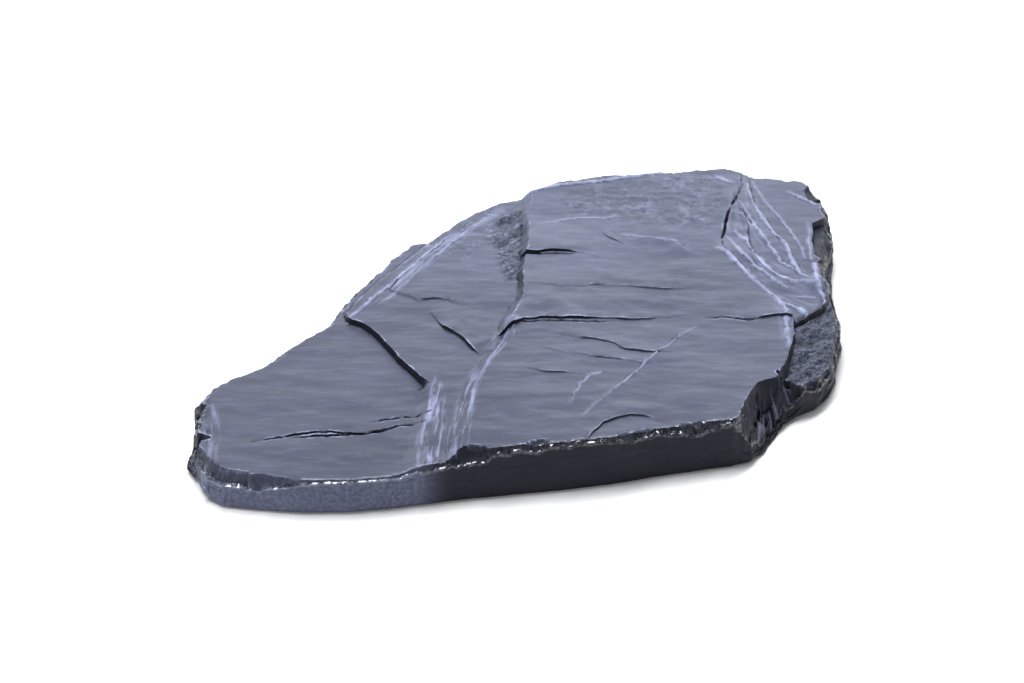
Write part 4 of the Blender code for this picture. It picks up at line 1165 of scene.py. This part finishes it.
def stone_material(settings):
    """Wet slate: clouded blue-grey cleavage faces, darkened towards the front with painted shade; pale edges,
    ridges and scuffs, partly wear and partly painted highlight; near-black steep and broken stone, partly its
    own wet dark and partly painted shade, lightened with painted light where drier; painted shade in clefts.
    """
    material = bpy.data.materials.new("wet_slate")
    material.use_nodes = True
    tree = material.node_tree
    shader = tree.nodes["Principled BSDF"]
    coordinates = add_node(tree, "ShaderNodeTexCoord").outputs
    place = coordinates["Object"]

    def fact(name):
        return add_node(tree, "ShaderNodeAttribute", attribute_name=name).outputs["Fac"]

    def grain(vector, stretch, scale, detail, roughness):
        mapped = add_node(tree, "ShaderNodeMapping", {"Vector": vector, "Scale": stretch}).outputs["Vector"]
        return add_node(
            tree, "ShaderNodeTexNoise",
            {"Vector": mapped, "Scale": scale, "Detail": detail, "Roughness": roughness}).outputs["Fac"]

    def spread(value, low, high, to_low=0.0, to_high=1.0):
        return add_node(
            tree, "ShaderNodeMapRange",
            {"Value": value, "From Min": low, "From Max": high, "To Min": to_low, "To Max": to_high}
        ).outputs["Result"]

    def math_node(operation, a, b=0.0):
        return add_node(tree, "ShaderNodeMath", {0: a, 1: b}, operation=operation).outputs[0]

    def times(a, b):
        return math_node("MULTIPLY", a, b)

    def mixed(share, a, b):
        node = add_node(tree, "ShaderNodeMix", data_type="RGBA")
        for socket, value in (
            (node.inputs["Factor"], share), (node.inputs[6], a), (node.inputs[7], b)
        ):
            if isinstance(value, bpy.types.NodeSocket):
                tree.links.new(value, socket)
            else:
                socket.default_value = value
        return node.outputs[2]

    def bumped(height, strength, depth, under=None):
        inputs = {"Height": height, "Strength": strength, "Distance": depth}
        if under:
            inputs["Normal"] = under
        return add_node(tree, "ShaderNodeBump", inputs).outputs["Normal"]

    rough, broken, scuffed, across, wet, dry_and_painted_light, flaky, ridged = (fact(name) for name in FACTS)
    proud = fact("proud")
    facing = add_node(tree, "ShaderNodeSeparateXYZ", {0: coordinates["Normal"]}).outputs
    level = math_node("ABSOLUTE", facing["Z"])
    along = add_node(tree, "ShaderNodeSeparateXYZ", {0: place}).outputs
    beside = add_node(
        tree, "ShaderNodeCombineXYZ", {"X": across, "Y": along["Y"], "Z": along["X"]}).outputs[0]
    clouds, patches, streaks, specks, beads = (grain(place, *texture) for texture in TEXTURES.values())
    scratches = grain(beside, *SCRATCHES)

    dark, light, pale, black = (
        (*colour, 1) for colour in (
            settings.dark_colour, settings.light_colour, settings.scuff_and_highlight_colour, settings.wall_colour)
    )
    # Pale on edges that stand proud: partly wear, partly painted highlight.
    wear_and_highlight = times(spread(proud, 0.07, 0.26), spread(patches, 0.46, 0.62, 0.0, 0.7))
    face = mixed(spread(clouds, 0.35, 0.65), dark, light)
    face = mixed(spread(streaks, 0.5, 0.8, 0.0, 0.16), face, pale)
    # Painted shade: the cleavage faces darken towards the front edge.
    face = mixed(spread(along["Y"], *FRONT_SHADE, 0.0, settings.painted_front_shade), face, black)
    face = mixed(times(flaky, spread(patches, 0.5, 0.7, 0.0, 0.3)), face, pale)
    speckled = times(times(rough, spread(specks, 0.42, 0.6, 0.0, 0.8)), spread(dry_and_painted_light, 0.0, 1.0, 1.0, 0.35))
    face = mixed(speckled, face, black)
    # Pale scratches along the scuffs: partly scratched wear, partly painted highlight on the bevels.
    wear_and_highlight = math_node("MAXIMUM", wear_and_highlight, times(scuffed, spread(scratches, 0.45, 0.75)))
    # Painted highlight along the ridges.
    wear_and_highlight = math_node("MAXIMUM", wear_and_highlight, times(ridged, spread(patches, 0.3, 0.55, 0.2, 1.0)))
    # Painted highlight and wear: the pale of proud edges, scuffs and ridges.
    face = mixed(wear_and_highlight, face, pale)
    # Steep and broken faces go near-black: partly the wet stone's own dark, partly painted shade picked by
    # how steeply they face.
    steep = math_node("MAXIMUM", spread(level, 0.72, 0.45), broken)
    # Painted light: the steep stone of the drier zones is lightened with pale specks, and spared the
    # near-black below.
    face = mixed(times(times(steep, dry_and_painted_light), spread(specks, 0.4, 0.62, 0.12, 0.38)), face, pale)
    stone = mixed(times(steep, math_node("SUBTRACT", 1.0, dry_and_painted_light)), face, black)
    # Painted highlight and wear on the proud edges of flaky and fluted stone, laid over the near-black.
    stone = mixed(times(wear_and_highlight, spread(flaky, 0.0, 1.0, 0.08, 0.3)), stone, pale)
    # Painted shade in the clefts, where a point lies below the points around it.
    stone = mixed(spread(proud, -0.05, -0.22, 0.0, 0.8), stone, black)
    tree.links.new(stone, shader.inputs["Base Color"])

    dull = spread(streaks, 0.3, 0.7, settings.roughness - 0.06, settings.roughness + 0.06)
    dull = math_node("ADD", dull, times(rough, 0.1))
    tree.links.new(math_node("SUBTRACT", dull, times(wet, 0.22)), shader.inputs["Roughness"])
    tree.links.new(times(wet, spread(beads, 0.42, 0.56)), shader.inputs["Coat Weight"])
    shader.inputs["Coat Roughness"].default_value = 0.06
    shader.inputs["Coat IOR"].default_value = 1.6
    shader.inputs["Metallic"].default_value = 0.0
    shader.inputs["IOR"].default_value = 1.5
    shader.inputs["Specular IOR Level"].default_value = settings.sheen
    shader.inputs["Specular Tint"].default_value = (*settings.sheen_colour, 1)

    normal = bumped(specks, 0.35, 0.00012)
    normal = bumped(streaks, 0.3, 0.00016, normal)
    normal = bumped(times(scuffed, scratches), 0.6, 0.0004, normal)
    normal = bumped(times(wet, beads), 0.9, 0.00055, normal)
    tree.links.new(normal, shader.inputs["Normal"])
    return material


def baked(obj):
    """The object's modifiers turned into its plain mesh."""
    evaluated = obj.evaluated_get(bpy.context.evaluated_depsgraph_get())
    mesh = bpy.data.meshes.new_from_object(evaluated)
    obj.modifiers.clear()
    obj.data = mesh
    return obj


def mark_edges(mesh):
    """Store how far each point stands proud of the points around it, as a slope: above 0 on an edge and below
    it in a cleft."""
    places, normals = np.empty(len(mesh.vertices) * 3), np.empty(len(mesh.vertices) * 3)
    mesh.vertices.foreach_get("co", places)
    mesh.vertices.foreach_get("normal", normals)
    places, normals = places.reshape(-1, 3), normals.reshape(-1, 3)
    ends = np.empty(len(mesh.edges) * 2, int)
    mesh.edges.foreach_get("vertices", ends)
    ends = ends.reshape(-1, 2)
    rise, count = np.zeros(len(places)), np.zeros(len(places))
    for near, far in (ends.T, ends[:, ::-1].T):
        run = places[far] - places[near]
        run /= np.linalg.norm(run, axis=1, keepdims=True)
        np.add.at(rise, near, -np.sum(run * normals[near], axis=1))
        np.add.at(count, near, 1)
    proud = mesh.attributes.new("proud", "FLOAT", "POINT")
    proud.data.foreach_set("value", (rise / count).astype(np.float32))


class SLATE_OT_slab(bpy.types.Operator):
    """Make the slab: its form, the relief of its faces and its wet finish"""

    bl_idname = "slate.slab"
    bl_label = "Slab"

    def execute(self, context):
        settings = context.scene.slate_slab
        stone = stone_material(settings)
        slab = bpy.data.objects.new("slate_stone", slab_mesh(settings))
        context.scene.collection.objects.link(slab)
        tree = relief_tree()
        relief = slab.modifiers.new("relief", "NODES")
        relief.node_group = tree
        values = {name: getattr(settings, setting) for name, setting in RELIEF_INPUTS.items()}
        values |= {"Seed": float(settings.seed), "Stone": stone}
        for item in tree.interface.items_tree:
            if item.name in values:
                relief[item.identifier] = values[item.name]
        baked(slab)
        places = np.empty(len(slab.data.vertices) * 3)
        slab.data.vertices.foreach_get("co", places)
        low, high = CAD_BOX
        slab.data.vertices.foreach_set("co", np.clip(places.reshape(-1, 3), low, high).ravel())
        slab.data.set_sharp_from_angle(angle=SHARP_ANGLE)
        slab.data.update()
        mark_edges(slab.data)
        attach(slab, "root")
        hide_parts(NODE)
        return {"FINISHED"}


class SLATE_OT_stage(bpy.types.Operator):
    """Make the floor, the studio lights and the camera"""

    bl_idname = "slate.stage"
    bl_label = "Stage"

    def execute(self, context):
        settings = context.scene.slate_stage
        self.floor(context, settings)
        self.lights(context, settings)
        self.camera(context, settings)
        return {"FINISHED"}

    def floor(self, context, settings):
        material = bpy.data.materials.new("floor_paper")
        material.use_nodes = True
        shader = material.node_tree.nodes["Principled BSDF"]
        shader.inputs["Base Color"].default_value = (*settings.floor_colour, 1)
        shader.inputs["Roughness"].default_value = 0.9
        shader.inputs["Specular IOR Level"].default_value = 0.2
        mesh = bpy.data.meshes.new("floor")
        bm = bmesh.new()
        bmesh.ops.create_grid(bm, x_segments=1, y_segments=1, size=settings.floor_size / 2)
        bm.to_mesh(mesh)
        bm.free()
        floor = bpy.data.objects.new("floor", mesh)
        floor.data.materials.append(material)
        context.scene.collection.objects.link(floor)

    def lights(self, context, settings):
        world = bpy.data.worlds.new("studio")
        context.scene.world = world
        world.use_nodes = True
        room = world.node_tree.nodes["Background"]
        room.inputs["Color"].default_value = (*settings.light_colour, 1.0)
        room.inputs["Strength"].default_value = settings.room_light
        for name, place, size, radiance in LIGHTS:
            light = bpy.data.lights.new(name, "AREA")
            light.shape = "RECTANGLE"
            light.size, light.size_y = size
            light.color = settings.light_colour
            light.energy = radiance * math.pi * size[0] * size[1]
            lamp = bpy.data.objects.new(name, light)
            lamp.location = place
            lamp.rotation_euler = Vector(place).to_track_quat("Z", "Y").to_euler()
            lamp.visible_camera = False
            context.scene.collection.objects.link(lamp)

    def camera(self, context, settings):
        camera = bpy.data.cameras.new("camera")
        camera.sensor_width = 36.0
        camera.lens = camera.sensor_width * settings.distance / settings.view_width
        back = Vector((0.0, -math.cos(settings.elevation), math.sin(settings.elevation)))
        eye = bpy.data.objects.new("camera", camera)
        eye.location = Vector(AIM) * MM + settings.distance * back
        eye.rotation_euler = back.to_track_quat("Z", "Y").to_euler()
        context.scene.collection.objects.link(eye)
        context.scene.camera = eye


class SLATE_PT_panel(bpy.types.Panel):
    """The slab's and the stage's buttons and settings"""

    bl_label = "Slate Slab"
    bl_idname = "SLATE_PT_panel"
    bl_space_type = "VIEW_3D"
    bl_region_type = "UI"
    bl_category = "Slate Slab"

    def draw(self, context):
        for operator, settings in (
            (SLATE_OT_slab, context.scene.slate_slab), (SLATE_OT_stage, context.scene.slate_stage)
        ):
            box = self.layout.box()
            box.operator(operator.bl_idname)
            for name in settings.bl_rna.properties.keys():
                if name not in ("rna_type", "name"):
                    box.prop(settings, name)


CLASSES = (SlabSettings, StageSettings, SLATE_OT_slab, SLATE_OT_stage, SLATE_PT_panel)


def register():
    for cls in CLASSES:
        bpy.utils.register_class(cls)
    bpy.types.Scene.slate_slab = PointerProperty(type=SlabSettings)
    bpy.types.Scene.slate_stage = PointerProperty(type=StageSettings)


def unregister():
    del bpy.types.Scene.slate_slab
    del bpy.types.Scene.slate_stage
    for cls in reversed(CLASSES):
        bpy.utils.unregister_class(cls)


def main():
    register()
    bpy.context.scene.view_settings.view_transform = "Standard"
    bpy.ops.slate.slab()
    bpy.ops.slate.stage()


if __name__ == "__main__":
    main()
